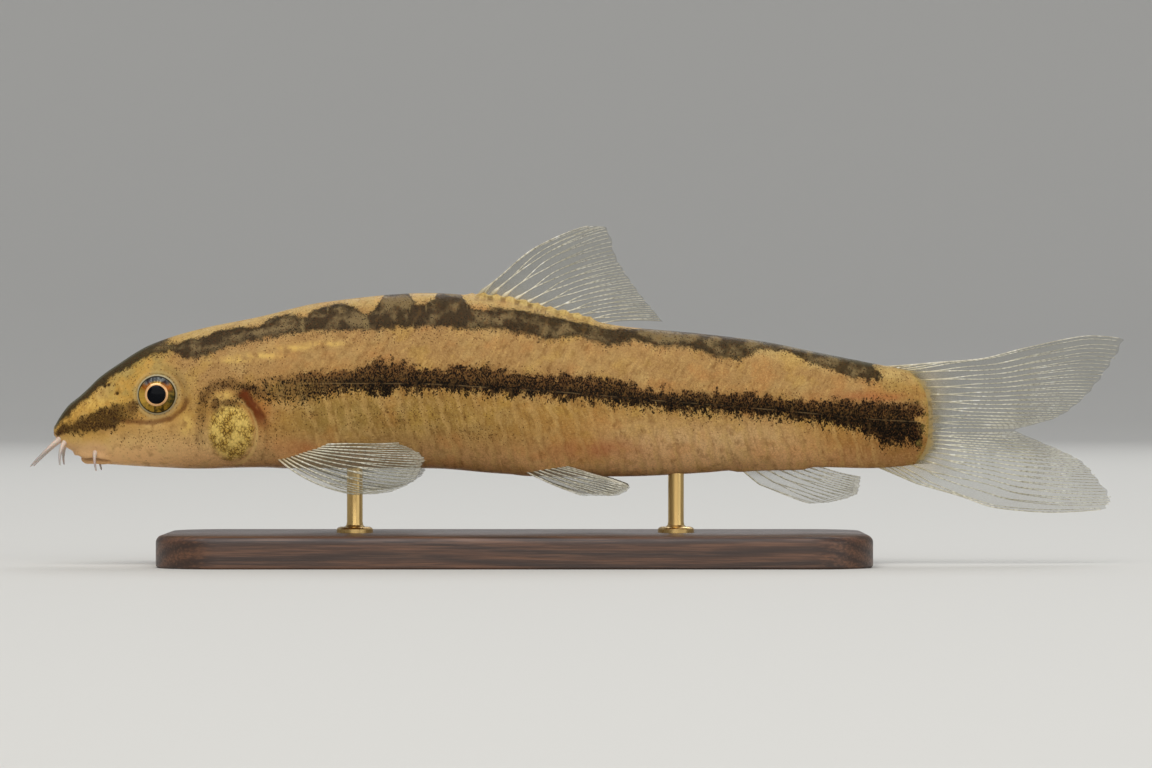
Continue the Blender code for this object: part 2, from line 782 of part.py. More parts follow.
def make_anal_fin():
    def root(share):
        along = ANAL_ROOT[0] + share * (ANAL_ROOT[1] - ANAL_ROOT[0])
        return along, 0.0, belly_of(along) + FIN_ROOT_DEPTH

    bow = lambda share: ANAL_BOW
    fin("anal_fin", root, curve_through(ANAL_TIPS), bow, ANAL_RAYS, ANAL_ROWS)


def lobe_root(lobe):
    """The root line of one lobe: along the tail's edge, round its corner and down its end to the fork."""
    edge = back_of if lobe > 0 else belly_of
    corner = STANDARD_LENGTH - TAIL_CORNER - FIN_ROOT_DEPTH
    corner_height = edge(corner) - lobe * FIN_ROOT_DEPTH

    def root(share):
        if share < LOBE_ROOT_TURN:
            along = LOBE_ROOT_START + share / LOBE_ROOT_TURN * (corner - LOBE_ROOT_START)
            return along, 0.0, edge(along) - lobe * FIN_ROOT_DEPTH
        down = (share - LOBE_ROOT_TURN) / (1 - LOBE_ROOT_TURN)
        height = corner_height + down * (FORK_HEIGHT + lobe * FORK_HALF_GAP - corner_height)
        return tail_line(height) - FIN_ROOT_DEPTH, 0.0, height

    return root


def make_tail_fin():
    lobes = (("caudal_upper_lobe", 1, UPPER_LOBE_TIPS), ("caudal_lower_lobe", -1, LOWER_LOBE_TIPS))
    for name, lobe, tips in lobes:
        bow = lambda share, lobe=lobe: (0.0, 0.0, -lobe * LOBE_BOW * (1 - share))
        fin(name, lobe_root(lobe), curve_through(tips), bow, LOBE_RAYS, LOBE_ROWS)


def make_paired_fins():
    kinds = (
        ("pectoral_fin", PECTORAL_ROOT, PECTORAL_TIPS, PECTORAL_BOWS, PECTORAL_RAYS, PECTORAL_ROWS),
        ("pelvic_fin", PELVIC_ROOT, PELVIC_TIPS, PELVIC_BOWS, PELVIC_RAYS, PELVIC_ROWS),
    )
    for stem, roots, tips, bows, rays, rows in kinds:
        for suffix, side in (("left", LEFT), ("right", RIGHT)):

            def root(share, roots=roots, side=side):
                along, height = (first + share * (last - first) for first, last in zip(*roots))
                spot, normal = skin_frame(along, height, side)
                return spot - PAIRED_ROOT_DEPTH * normal

            def tip(share, line=curve_through(tips), side=side):
                along, out, height = line(share)
                return along, side * out, height

            def bow(share, bows=bows, side=side):
                along, out, height = (first + share * (last - first) for first, last in zip(*bows))
                return along, side * out, height

            fin(f"{stem}_{suffix}", root, tip, bow, rays, rows)


def make_base():
    """The stand's plate: a rectangle with round corners and a softened top edge."""
    walnut = material("stand_walnut", BASE_WALNUT, 0.4)
    outline = []
    for quarter, (sign_x, sign_y) in enumerate(((1, 1), (-1, 1), (-1, -1), (1, -1))):
        for step in range(7):
            turn = math.pi / 2 * (quarter + step / 6)
            x = sign_x * (BASE_LENGTH / 2 - BASE_CORNER) + BASE_CORNER * math.cos(turn)
            y = sign_y * (BASE_WIDTH / 2 - BASE_CORNER) + BASE_CORNER * math.sin(turn)
            outline.append((x * MM, y * MM))
    mesh = bpy.data.meshes.new("stand_base")
    shape = bmesh.new()
    low = shape.faces.new([shape.verts.new((x, y, 0.0)) for x, y in outline])
    raised = bmesh.ops.extrude_face_region(shape, geom=[low])
    top = [item for item in raised["geom"] if isinstance(item, bmesh.types.BMVert)]
    bmesh.ops.translate(shape, verts=top, vec=(0, 0, BASE_THICKNESS * MM))
    rim = [e for e in shape.edges if all(v.co.z > BASE_THICKNESS * MM / 2 for v in e.verts)]
    bmesh.ops.bevel(shape, geom=rim, offset=BASE_BEVEL * MM, segments=2, profile=0.5, affect="EDGES")
    bmesh.ops.recalc_face_normals(shape, faces=shape.faces)
    shape.to_mesh(mesh)
    shape.free()
    base = bpy.data.objects.new("stand_base", mesh)
    bpy.context.scene.collection.objects.link(base)
    mesh.materials.append(walnut)
    low = BASE_THICKNESS - ROD_IN_BASE - GAP - SNOUT_ABOVE_FLOOR
    high = BASE_THICKNESS + ROD_ROOM_ABOVE_BASE - SNOUT_ABOVE_FLOOR
    cut = [rod_between("rod_room", along, low, high, ROD_RADIUS + GAP) for along in ROD_ALONGS.values()]
    return combine(base, cut, "DIFFERENCE")


def make_rods():
    brass = material("stand_brass", ROD_BRASS, 0.25, 1.0)
    for name, along in ROD_ALONGS.items():
        low = BASE_THICKNESS - ROD_IN_BASE - SNOUT_ABOVE_FLOOR
        rod_between(name, along, low, belly_of(along) + ROD_IN_BODY, ROD_RADIUS, finish=brass)


def main():
    for old in list(bpy.data.objects):
        bpy.data.objects.remove(old)
    make_head()
    make_lower_jaw()
    make_eyes()
    make_gill_covers()
    make_barbels()
    make_trunk()
    make_tail_stalk()
    make_dorsal_fin()
    make_anal_fin()
    make_tail_fin()
    make_paired_fins()
    make_base()
    make_rods()


main()
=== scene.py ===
"""Dresses the solids of a two-striped loach as a life-size display model.

It makes one wet skin, eyes, barbels, clear rayed fins, and a walnut stand with two brass rods. A place on
the fish is (along, out, height) in millimetres, as in the solids: along is the distance behind the snout tip,
out is the distance to the right of the middle plane, and height is above the snout tip.
"""

import json
import math

import bmesh
import bpy
import numpy as np
from bpy.props import FloatProperty, FloatVectorProperty, IntProperty, PointerProperty
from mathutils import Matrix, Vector

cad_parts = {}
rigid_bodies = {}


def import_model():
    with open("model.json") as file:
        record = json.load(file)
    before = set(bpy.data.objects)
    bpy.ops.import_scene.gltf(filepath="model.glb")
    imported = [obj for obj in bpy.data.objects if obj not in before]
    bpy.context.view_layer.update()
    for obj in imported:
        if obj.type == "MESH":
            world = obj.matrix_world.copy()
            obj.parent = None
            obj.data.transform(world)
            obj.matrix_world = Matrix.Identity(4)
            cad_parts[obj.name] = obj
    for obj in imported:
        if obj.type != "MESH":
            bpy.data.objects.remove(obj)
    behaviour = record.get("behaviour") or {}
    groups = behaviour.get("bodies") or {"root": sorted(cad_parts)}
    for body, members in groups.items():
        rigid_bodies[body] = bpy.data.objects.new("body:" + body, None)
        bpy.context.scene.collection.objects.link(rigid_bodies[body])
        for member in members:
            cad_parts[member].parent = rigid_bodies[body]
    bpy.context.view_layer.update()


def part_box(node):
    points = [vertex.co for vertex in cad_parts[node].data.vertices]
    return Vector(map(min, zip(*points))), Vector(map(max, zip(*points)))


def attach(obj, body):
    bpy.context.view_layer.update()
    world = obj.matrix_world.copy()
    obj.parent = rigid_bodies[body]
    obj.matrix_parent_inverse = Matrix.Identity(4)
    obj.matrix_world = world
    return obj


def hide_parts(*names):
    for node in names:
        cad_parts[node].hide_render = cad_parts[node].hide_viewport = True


bl_info = {
    "name": "Loach display model",
    "version": (1, 0, 0),
    "blender": (4, 5, 0),
    "location": "3D View > Sidebar > Loach",
    "description": "Builds the skin, fins, eyes and stand of a life-size loach model over its solids",
    "category": "Object",
}

for old in list(bpy.data.objects):
    bpy.data.objects.remove(old)
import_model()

MM = 0.001
LEFT, RIGHT = -1, 1
SIDES = {"left": LEFT, "right": RIGHT}

# The body's sizes in millimetres, as in the solids
STANDARD_LENGTH = 81.6
TOTAL_LENGTH = 100.6
SNOUT_ABOVE_FLOOR = 12.4
BASE_CENTRE_ALONG = 43.0
SWAY_START = 40.0
TAIL_SWAY = 3.0

# Along, back and belly height, half width, widest line as a share of the depth, squareness above and below it
BODY_STATIONS = (
    (0.0, 0.60, -0.40, 0.50, 0.45, 2.0, 2.2),
    (0.4, 1.30, -0.95, 0.98, 0.44, 2.0, 2.3),
    (1.3, 2.52, -1.57, 1.52, 0.43, 2.0, 2.4),
    (2.3, 3.33, -2.04, 1.90, 0.42, 2.0, 2.5),
    (3.1, 4.06, -2.75, 2.15, 0.42, 2.0, 2.5),
    (4.1, 5.04, -2.93, 2.42, 0.42, 2.0, 2.5),
    (6.0, 6.40, -3.07, 2.88, 0.42, 2.0, 2.5),
    (8.8, 8.10, -3.24, 3.42, 0.42, 2.0, 2.5),
    (13.5, 9.61, -3.42, 4.10, 0.42, 2.0, 2.5),
    (19.0, 10.74, -3.30, 4.52, 0.43, 2.0, 2.5),
    (25.0, 12.11, -3.36, 4.72, 0.44, 2.0, 2.4),
    (35.0, 12.98, -3.40, 4.75, 0.45, 1.95, 2.3),
    (41.5, 12.43, -3.88, 4.60, 0.46, 1.95, 2.2),
    (47.1, 11.12, -4.18, 4.32, 0.47, 1.95, 2.2),
    (53.0, 9.88, -4.16, 3.92, 0.48, 1.95, 2.1),
    (60.2, 9.20, -3.84, 3.42, 0.49, 1.95, 2.1),
    (66.0, 8.48, -3.38, 2.95, 0.50, 1.95, 2.0),
    (71.4, 7.40, -3.30, 2.42, 0.50, 1.95, 2.0),
    (76.0, 6.50, -3.40, 1.85, 0.50, 1.95, 2.0),
    (79.3, 5.85, -3.20, 1.30, 0.50, 2.0, 2.0),
    (81.6, 5.20, -2.80, 0.90, 0.50, 2.0, 2.0),
)
GILL_LINE = ((-4.2, 18.6), (-1.7, 19.7), (0.2, 19.9), (2.0, 19.3), (3.9, 18.1), (6.7, 17.6), (12.0, 17.8))
TAIL_MIDDLE_HEIGHT = 1.1
TAIL_HALF_DEPTH = 4.9
TAIL_CORNER = 2.4
TAIL_ROUNDING = 3.2

# How finely the skin is made
SKIN_SIDES = 240
HEAD_END = 21.0
HEAD_STEP = 0.115
BODY_STEP = 0.38
SNOUT_CAP_RINGS = 6
SNOUT_BULGE = 0.12
FLAP_RINGS = 5
FLAP_REACH = 0.45
FLAP_END_WIDTH = 0.3
FLAP_THINNING = 0.8
FLAP_LOWERING = 0.03
TAIL_LINE_START = 66.0
TAIL_LINE_ROUNDS = 6

# The clear sleeve in which the tail's flesh thins out over the rays
SLEEVE_RINGS = 26
SLEEVE_START = -0.35
SLEEVE_REACH = 2.3
SLEEVE_WIDTH = 0.98
SLEEVE_END_WIDTH = 0.09
SLEEVE_THINNING = 0.75
SLEEVE_DEPTH = 0.985

# Eyes
EYE_ALONG = 9.75
EYE_HEIGHT = 3.5
EYE_RADIUS = 1.95
EYE_HALF_THICKNESS = 1.25
EYE_SUNK = 0.72
EYE_OPENING = 1.9
EYE_RIM_RADIUS = 2.08
EYE_RIM_WIDTH = 0.14
EYE_RIM_CLEAR = 0.02
EYE_RIM_INSIDE = 0.05
EYE_DISH_RADIUS = 3.3
EYE_LEAST_OUT = 1.0
SOCKET_GAP = 0.12
SOCKET_DEPTH = 0.9
SOCKET_FLOOR_RADIUS = 0.9
PUPIL_RADIUS = 0.86
LENS_HEIGHT = 0.07
LENS_EDGE = 0.12
IRIS_DIP = 0.05
IRIS_DIP_RADIUS = 1.3
IRIS_DIP_WIDTH = 0.25
EYE_RINGS = 44
EYE_SEGMENTS = 72

# Mouth, as ovals seen from below round a centre; each lip has a distance from the cleft and a width
MOUTH_ALONG = 4.4
MOUTH_REACH = 2.05
MOUTH_HALF_WIDTH = 1.55
MOUTH_SCALE = 1.8
MOUTH_END = (4.4, 5.6)
MOUTH_TOP = (-1.5, -0.7)
MOUTH_LINE_WIDTH = 0.16
LIPS = ((0.3, 0.22), (-0.36, 0.26))
CLEFT_DEPTH = 0.6
CLEFT_WIDTH = 0.11

# Nostrils on each side: place, radius and depth of each pit
NOSTRIL_PITS = (((4.75, 4.33), 0.14, 0.3), ((5.15, 4.42), 0.12, 0.22), ((5.95, 3.65), 0.17, 0.4))
NOSTRIL_ALONG = 5.9
NOSTRIL_HEIGHT = 4.0
NOSTRIL_RIM = 0.17
NOSTRIL_RIM_RADIUS = 0.48
NOSTRIL_RIM_WIDTH = 0.16

# Gill cover
COVER_ALONG = 16.7
COVER_HEIGHT = 0.04
COVER_HALF_LENGTH = 2.15
COVER_HALF_HEIGHT = 2.75
COVER_SWELL = 0.2
COVER_GROOVE = 0.06
COVER_EDGE = 1.06
COVER_EDGE_WIDTH = 0.07
GILL_FLAP = 0.22
GILL_SLIT_DEPTH = 0.16
GILL_SLIT_WIDTH = 0.4

# Barbels: name, root along and height on the skin, tip (along, out, height) and root radius
BARBELS = (
    ("barbel_front", 0.45, -0.70, (-2.15, 1.5, -3.2), 0.30),
    ("barbel_middle", 0.95, -0.98, (0.65, 2.2, -3.1), 0.30),
    ("barbel_mouth_corner", 3.90, -1.85, (4.1, 3.0, -3.6), 0.28),
)
BARBEL_LIFT = 0.42
BARBEL_TIP_RADIUS = 0.07
BARBEL_SUNK = 0.45
BARBEL_FLARE = 0.55
BARBEL_FLARE_REACH = 0.09
BARBEL_THINNING = 0.8
BARBEL_TIP_START = 0.96
BARBEL_TIP_LENGTH = 0.045
BARBEL_RINGS = 30
BARBEL_SIDES = 18
BARBEL_STEP = 0.01
NO_BARBELS_WAY = (0.31, 0.2, 0.93)

# Bands of muscle on the flank, and the low ridges and swellings at the roots of the fins
MUSCLE_SLANT_ABOVE = 0.75
MUSCLE_SLANT_BELOW = 0.3
MUSCLE_CURVE = 0.03
FLANK_HEIGHT = 4.0
FLANK_REACH = 5.0
FIN_RIDGE_WIDTH = 0.55
DORSAL_RIDGE = 0.32
DORSAL_BUMP_SHARE = 0.4
ANAL_RIDGE = 0.25
# Along, height, how far it stands out and how far from the middle plane it starts
FIN_SWELLS = ((21.6, -2.2, 0.22, 0.0), (44.0, -3.4, 0.15, 0.6))
FIN_SWELL_STRETCH = 1.2
FIN_SWELL_RADIUS = 1.3

# Upper and lower edge of the stripe along the side, as along and height
SIDE_STRIPE_TOP = (
    (17.4, 4.3), (19.0, 4.6), (21.0, 4.86), (22.9, 5.23), (27.5, 5.5), (30.3, 6.45), (32.2, 6.25),
    (35.0, 5.6), (38.8, 5.98), (41.6, 5.6), (46.2, 5.14), (50.9, 4.86), (55.6, 3.92), (60.2, 3.46),
    (64.0, 3.4), (69.6, 2.8), (74.2, 2.55), (76.1, 2.7), (78.0, 2.52), (79.9, 2.1), (81.4, 2.05),
)
SIDE_STRIPE_BOTTOM = (
    (17.4, 3.6), (19.0, 3.1), (21.0, 2.85), (22.9, 2.8), (25.0, 3.2), (27.5, 3.8), (30.3, 3.5),
    (32.2, 3.9), (38.8, 3.74), (41.6, 3.46), (46.2, 3.27), (50.9, 2.8), (55.6, 2.24), (60.2, 1.87),
    (64.0, 1.59), (69.6, 1.12), (74.2, 0.37), (76.1, -0.28), (78.0, -1.2), (79.9, -1.0), (81.4, -1.5),
)
# Edges of the stripe along the back; where the top edge is above the back, the two stripes meet as a saddle
BACK_STRIPE_TOP = (
    (9.0, 7.9), (13.5, 8.85), (16.3, 9.7), (18.8, 9.9), (20.2, 10.65), (21.9, 11.0), (23.1, 10.7),
    (24.4, 11.5), (26.6, 12.0), (28.2, 11.5), (29.0, 10.9), (30.0, 11.8), (31.3, 13.6), (32.4, 13.6),
    (33.7, 11.9), (35.3, 12.3), (36.1, 13.6), (37.1, 13.6), (38.6, 11.8), (39.5, 11.4), (41.7, 11.5),
    (44.5, 11.2), (47.7, 10.5), (50.6, 9.9), (52.9, 9.6), (55.8, 9.7), (57.5, 10.4), (79.0, 10.0),
)
BACK_STRIPE_BOTTOM = (
    (9.0, 7.6), (10.3, 7.66), (12.1, 6.85), (13.5, 7.0), (16.3, 7.94), (19.2, 8.6), (23.5, 9.34),
    (29.2, 9.5), (33.3, 9.76), (36.9, 9.7), (42.9, 9.34), (46.1, 8.55), (48.7, 8.97), (51.5, 8.05),
    (54.2, 8.5), (56.6, 7.85), (59.0, 7.9), (62.2, 6.86), (64.0, 6.8), (66.0, 7.7), (68.8, 7.43),
    (71.2, 6.47), (73.6, 5.83), (75.2, 5.04), (76.9, 4.75), (79.0, 4.7),
)
BACK_STRIPE_SPAN = (9.6, 77.0)
BACK_GAP_SLANT = 0.15
BACK_GAP_HEIGHT = 10
BACK_STRIPE_GAPS = ((23.1, 0.25), (25.7, 0.12), (29.05, 0.3), (33.4, 0.14), (34.9, 0.1), (38.8, 0.12))
SNOUT_STRIPE_TOP = ((0.0, 0.45), (2.0, 1.35), (3.4, 1.85), (5.2, 2.55), (6.6, 2.75), (8.0, 2.9))
SNOUT_STRIPE_BOTTOM = ((0.0, -0.45), (1.6, -0.1), (3.3, -0.1), (5.1, 0.2), (6.4, 0.85), (8.0, 1.5))
SIDE_STRIPE_SPAN = (17.4, 84.0)
SNOUT_STRIPE_SPAN = (0.1, 7.9)
LATERAL_LINE = (
    (18.5, 4.6), (24.0, 4.55), (34.0, 4.5), (41.5, 4.1), (47.0, 3.75), (55.5, 3.0), (62.0, 2.5), (69.5, 1.85),
    (77.0, 1.15), (81.6, 0.9),
)

# The dark band along the top of the head lies above this line
CROWN_BOTTOM = (
    (0.2, 0.55), (0.65, 0.95), (1.4, 1.75), (2.33, 2.6), (3.27, 3.35), (4.2, 4.2), (5.14, 5.0), (6.07, 5.65),
    (7.0, 6.25), (8.6, 7.0), (10.3, 7.4),
)
CROWN_SPAN = (-0.2, 10.6)
ABOVE_BACK = 14.0

# Lines drawn on the head, as along and height
EYE_GROOVE = ((5.6, 1.2), (6.8, 1.0), (9.2, 0.9), (10.9, 1.35), (12.0, 2.2), (12.2, 3.0))
CHEEK_ARCH = ((13.5, -0.9), (13.6, 1.5), (14.0, 3.2), (14.9, 4.2), (16.3, 4.45), (17.8, 4.0))
GILL_SLIT = ((17.7, 3.5), (18.4, 2.6), (19.0, 1.5), (19.6, 0.6))
# Lines that are sunk into the skin, with depth and width
SKIN_GROOVES = ((CHEEK_ARCH, 0.08, 0.3), (EYE_GROOVE, 0.09, 0.2))

# Soft spots of colour: along, height, half length and half height
GOLD_SPOTS = (
    (16.9, 6.7, 1.7, 0.32), (19.6, 7.1, 1.8, 0.28), (22.4, 7.8, 1.8, 0.28), (12.3, 0.7, 0.6, 1.0),
    (15.7, 3.45, 0.85, 0.4), (25.2, 8.2, 2.0, 0.25), (4.0, 2.6, 2.2, 0.7), (5.7, 1.0, 0.5, 0.3),
    (80.7, 1.2, 0.5, 0.3),
)
DARK_SPOTS = (
    (15.0, 2.6, 0.55, 1.1), (16.3, 2.7, 1.4, 0.4), (17.4, 3.4, 0.9, 0.45), (15.9, 4.35, 1.5, 0.4),
    (7.3, 2.4, 0.7, 0.8), (80.2, 2.4, 0.9, 0.7), (80.5, 0.1, 0.5, 0.7), (0.5, -0.1, 0.7, 0.3),
    (18.2, 4.1, 1.2, 0.45),
)
RED_SPOTS = ((22.6, -1.5, 1.8, 0.75), (51.0, -1.6, 4.4, 1.0), (76.5, 3.3, 4.0, 0.5), (18.9, 1.9, 1.3, 1.5))
FRECKLE_SPOTS = (
    (19.9, 0.0, 1.3, 1.5), (17.5, 5.6, 3.5, 1.4), (39.7, -0.3, 2.8, 0.9), (9.3, -0.6, 3.0, 0.8),
    (23.5, 1.9, 2.4, 1.2), (33.0, 1.6, 7.0, 1.2), (12.3, 6.5, 2.0, 1.2), (30.0, 8.9, 12.0, 0.6),
    (60.5, 1.2, 2.0, 0.7), (14.6, 4.0, 2.2, 2.6), (78.8, 4.4, 2.2, 1.4), (80.8, 1.0, 0.5, 3.0),
)

# How finely a fin is measured, and the thickness at both ends of each kind of branch, as a share of a ray's
FIN_LINES = 121
FRONT_EDGE_STEPS = 40
MEASURED_POINTS = 9
FRONT_RAY = (1.0, 0.8)
FRONT_BRANCH = (0.7, 0.5)
SHORT_RAY = (0.9, 0.6)
RAY_STEM = (1.0, 0.9)
HALF_BRANCH = (0.76, 0.7)
QUARTER_BRANCH = (0.66, 0.6)
FRONT_RAY_END = 0.98
RAY_END = 0.99
SHORT_RAY_ROOT = 0.02
SHORT_RAY_REACH = 0.12
TIP_START = 0.9
TIP_UNEVENNESS = 0.025
RAY_TAPER = 0.45
RAY_LEAST = 0.33
JOINT_WAIST = 0.15
KNOB_REACH = 0.1
KNOB_WIDTH = 0.04

# The web between the rays; its thickness is a share of the panel's, less what it loses towards the tips
WEB_COLUMNS = 121
WEB_ROWS = 40
WEB_END = 0.985
WEB_SCALLOP = 0.012
WEB_ROOT_SHARE = 1.4
WEB_THINNING = 0.6
SEAM_NEARNESS = 12

# Fins: root and tips as along, out and height, as in the solids, with a share of the outline before each tip
FIN_ROOT_DEPTH = 0.5
PAIRED_ROOT_DEPTH = 0.9
PAIRED_SPLIT = (0.46, 0.74)
DORSAL_BUILD = {"rays": 11, "split": (0.22, 0.5), "foremost": 0.19, "short": 2, "knob": 1.6}
ANAL_BUILD = {"rays": 8, "split": (0.35, 0.65), "foremost": 0.2, "short": 1}
LOBE_BUILD = {"rays": 10, "split": (0.12, 0.36), "foremost": 0.22, "short": 4}
DORSAL_ROOT = (39.0, 49.8)
DORSAL_BUMPS = 1.25
DORSAL_BOW = (-0.9, 0.25, 0.75)
DORSAL_TIPS = (
    (0.0, 41.3, 0.0, 14.3),
    (0.09, 45.0, 0.0, 17.3),
    (0.18, 50.0, 0.0, 19.25),
    (0.25, 51.5, 0.0, 19.2),
    (0.45, 52.7, 0.0, 16.2),
    (0.7, 54.6, 0.0, 13.2),
    (1.0, 56.9, 0.0, 10.3),
)
ANAL_ROOT = (63.6, 69.9)
ANAL_BOW = (0.0, 0.1, -0.25)
ANAL_TIPS = ((0.0, 65.8, 0.0, -4.9), (0.2, 70.9, 0.0, -6.7), (0.6, 75.2, 0.0, -5.7), (1.0, 75.4, 0.0, -4.2))
LOBE_ROOT_START = 76.0
LOBE_ROOT_TURN = 0.11
LOBE_BOW = 0.55
FORK_HEIGHT = 0.15
LOBE_SPACE = 0.1
UPPER_LOBE_TIPS = (
    (0.0, 82.6, 0.0, 6.5),
    (0.055, 86.4, 0.0, 6.8),
    (0.11, 91.0, 0.0, 7.9),
    (0.17, 97.0, 0.0, 9.0),
    (0.23, 100.5, 0.0, 8.5),
    (0.33, 99.6, 0.0, 7.0),
    (0.5, 97.9, 0.0, 4.6),
    (0.65, 96.2, 0.0, 2.8),
    (0.8, 94.0, 0.0, 1.35),
    (1.0, 89.9, 0.0, 0.25),
)
LOWER_LOBE_TIPS = (
    (0.0, 80.5, 0.0, -4.8),
    (0.055, 84.5, 0.0, -5.95),
    (0.11, 88.3, 0.0, -7.15),
    (0.17, 93.5, 0.0, -7.55),
    (0.23, 98.8, 0.0, -7.15),
    (0.33, 99.1, 0.0, -6.2),
    (0.5, 97.7, 0.0, -4.2),
    (0.65, 96.4, 0.0, -2.8),
    (0.8, 94.2, 0.0, -1.7),
    (1.0, 89.9, 0.0, 0.05),
)
PECTORAL_RAYS = 12
PECTORAL_ROOT = ((20.4, -2.75), (23.2, -1.7))
PECTORAL_BOWS = ((-0.5, 0.7, -0.85), (0.3, 0.5, 0.0))
PECTORAL_TIPS = (
    (0.0, 28.8, 10.8, -5.7),
    (0.15, 31.4, 10.6, -5.5),
    (0.4, 34.4, 9.2, -4.0),
    (0.7, 34.9, 7.4, -2.4),
    (1.0, 32.3, 6.2, -0.9),
)
PELVIC_RAYS = 8
PELVIC_ROOT = ((42.6, -3.85), (45.6, -3.3))
PELVIC_BOWS = ((0.0, 0.3, -0.3), (0.1, 0.2, 0.0))
PELVIC_TIPS = ((0.0, 49.4, 4.8, -5.9), (0.2, 52.2, 4.8, -5.9), (0.6, 53.8, 4.1, -5.1), (1.0, 52.2, 3.5, -4.4))
PAIRED_FINS = {
    "pectoral_fin": (PECTORAL_ROOT, PECTORAL_TIPS, PECTORAL_BOWS, PECTORAL_RAYS),
    "pelvic_fin": (PELVIC_ROOT, PELVIC_TIPS, PELVIC_BOWS, PELVIC_RAYS),
}

# Stand; a collar's edge is inset from it and its hollow is wider than the rod, at shares of its height
BASE_CORNER = 6.0
BASE_CORNER_STEPS = 12
BASE_EDGE_STEPS = 8
BASE_CREASE = 40
FOOT_EDGE = 0.25
COLLAR_SUNK = 0.2
COLLAR_EDGE = ((0.0, 0.6), (0.12, 0.85), (0.32, 1.0))
COLLAR_HOLLOW = ((0.22, 1.0), (0.05, 1.3), (0.0, 1.9))
ROD_SIDES = 48
ROD_CREASE = 35

# Stage in metres; each light has a place, a size and a colour
FLOOR_FLAT = 1.2
FLOOR_CURVE = 1.0
FLOOR_SIDES = 96
FLOOR_RINGS = 6
CURVE_RINGS = 16
LIGHTS = {
    "key": ((-0.2, -0.55, 1.05), 0.95, (1.0, 0.98, 0.95)),
    "fill": ((0.95, -0.75, 0.4), 0.8, (0.95, 0.98, 1.0)),
    "front": ((0.05, -1.5, 0.25), 1.5, (1.0, 0.99, 0.97)),
    "rim": ((0.15, 0.75, 0.75), 0.6, (0.96, 0.98, 1.0)),
}
LIGHT_AIM = (0, 0, 0.015)
SKY_COLOUR = (0.9, 0.93, 1.0, 1.0)
SKY_STRENGTH = 0.45
SENSOR_WIDTH = 36.0
CAMERA_CLIP = (0.01, 20.0)

# The picture's width and the point at its middle, on the fish
VIEW_WIDTH = 107.6
VIEW_ALONG = 48.66
VIEW_HEIGHT = 4.48
VIEW_DISTANCE = 538.0


def tint(red, green, blue):
    """A colour seen as these 0 to 255 values, as linear light."""
    shares = (value / 255 for value in (red, green, blue))
    return tuple(share / 12.92 if share <= 0.04045 else ((share + 0.055) / 1.055) ** 2.4 for share in shares)


def size_property(name, description, default, **settings):
    return FloatProperty(name=name, description=description, default=default, unit="NONE", **settings)


def colour_property(name, description, default):
    return FloatVectorProperty(
        name=name, description=description, default=default, subtype="COLOR", size=3, min=0.0, max=1.0
    )


class LoachSizes(bpy.types.PropertyGroup):
    """Sizes of the fine parts, in millimetres."""

    eye_rim: size_property("Eye rim", "How far the rim round each eye stands up, in mm", 0.13)
    lip: size_property("Lips", "How far the lips stand out, in mm", 0.32)
    muscle: size_property("Muscle bands", "How far the muscle bands show in the flank, in mm", 0.014)
    muscle_spacing: size_property("Muscle spacing", "Length of one muscle band along the flank, in mm", 1.75)
    ray_radius: size_property("Ray radius", "Radius of a fin ray at its root, in mm", 0.105)
    ray_joint: size_property("Ray joints", "Length of one joint of a fin ray, in mm", 0.55)
    web_thickness: size_property("Web thickness", "Thickness of the clear web between the rays, in mm", 0.07)
    ray_sides: IntProperty(name="Ray sides", description="Sides of each fin ray", default=6, min=4, max=12)


class LoachColours(bpy.types.PropertyGroup):
    """Colours of the fish."""

    flank: colour_property("Flank", "Tan of the sides", tint(178, 138, 82))
    upper_flank: colour_property("Upper flank", "Greyer tan between the stripes", tint(176, 140, 98))
    belly: colour_property("Belly", "Orange tan of the lower sides", tint(204, 150, 96))
    throat: colour_property("Throat", "Pinkish tan under the head", tint(216, 180, 134))
    gut: colour_property("Gut", "Olive tone behind the pectoral fins", tint(152, 128, 76))
    gold: colour_property("Gold", "Gold of the head and gill covers", tint(204, 162, 84))
    bright_gold: colour_property("Bright gold", "Golden streaks and spots", tint(234, 200, 124))
    cream: colour_property("Cream", "Pale streaks and the middle of the back", tint(204, 178, 130))
    stripe: colour_property("Stripe", "Blackish grains of the stripe along the side", tint(6, 4, 3))
    wash: colour_property("Stripe wash", "Brown under the stripe's grains", tint(26, 17, 10))
    saddle: colour_property("Back stripe", "Grey brown stripe along the back", tint(46, 38, 30))
    saddle_light: colour_property("Back stripe, light", "Lighter middles of its blotches", tint(122, 106, 82))
    crown: colour_property("Crown", "Dark band along the top of the head", tint(44, 41, 32))
    # Painted sheen: a blue grey line along the top edge of the back, where the light from above glances off
    # it
    rim: colour_property("Rim", "Blue grey edge of the back", tint(112, 120, 116))
    freckle: colour_property("Freckles", "Fine brown dots", tint(88, 58, 36))
    blood: colour_property("Red", "Reddish flesh of the gill slit", tint(104, 50, 24))
    ray: colour_property("Fin rays", "Pale horn of the fin rays", tint(222, 216, 194))
    ray_dark: colour_property("Ray joints", "Brown of the joints between ray segments", tint(92, 80, 60))
    web: colour_property("Fin web", "Clear grey web of the fins", tint(118, 116, 96))
    iris: colour_property("Iris", "Olive gold of the iris", tint(160, 124, 44))
    barbel: colour_property("Barbels", "Pale flesh of the barbels", tint(206, 184, 164))


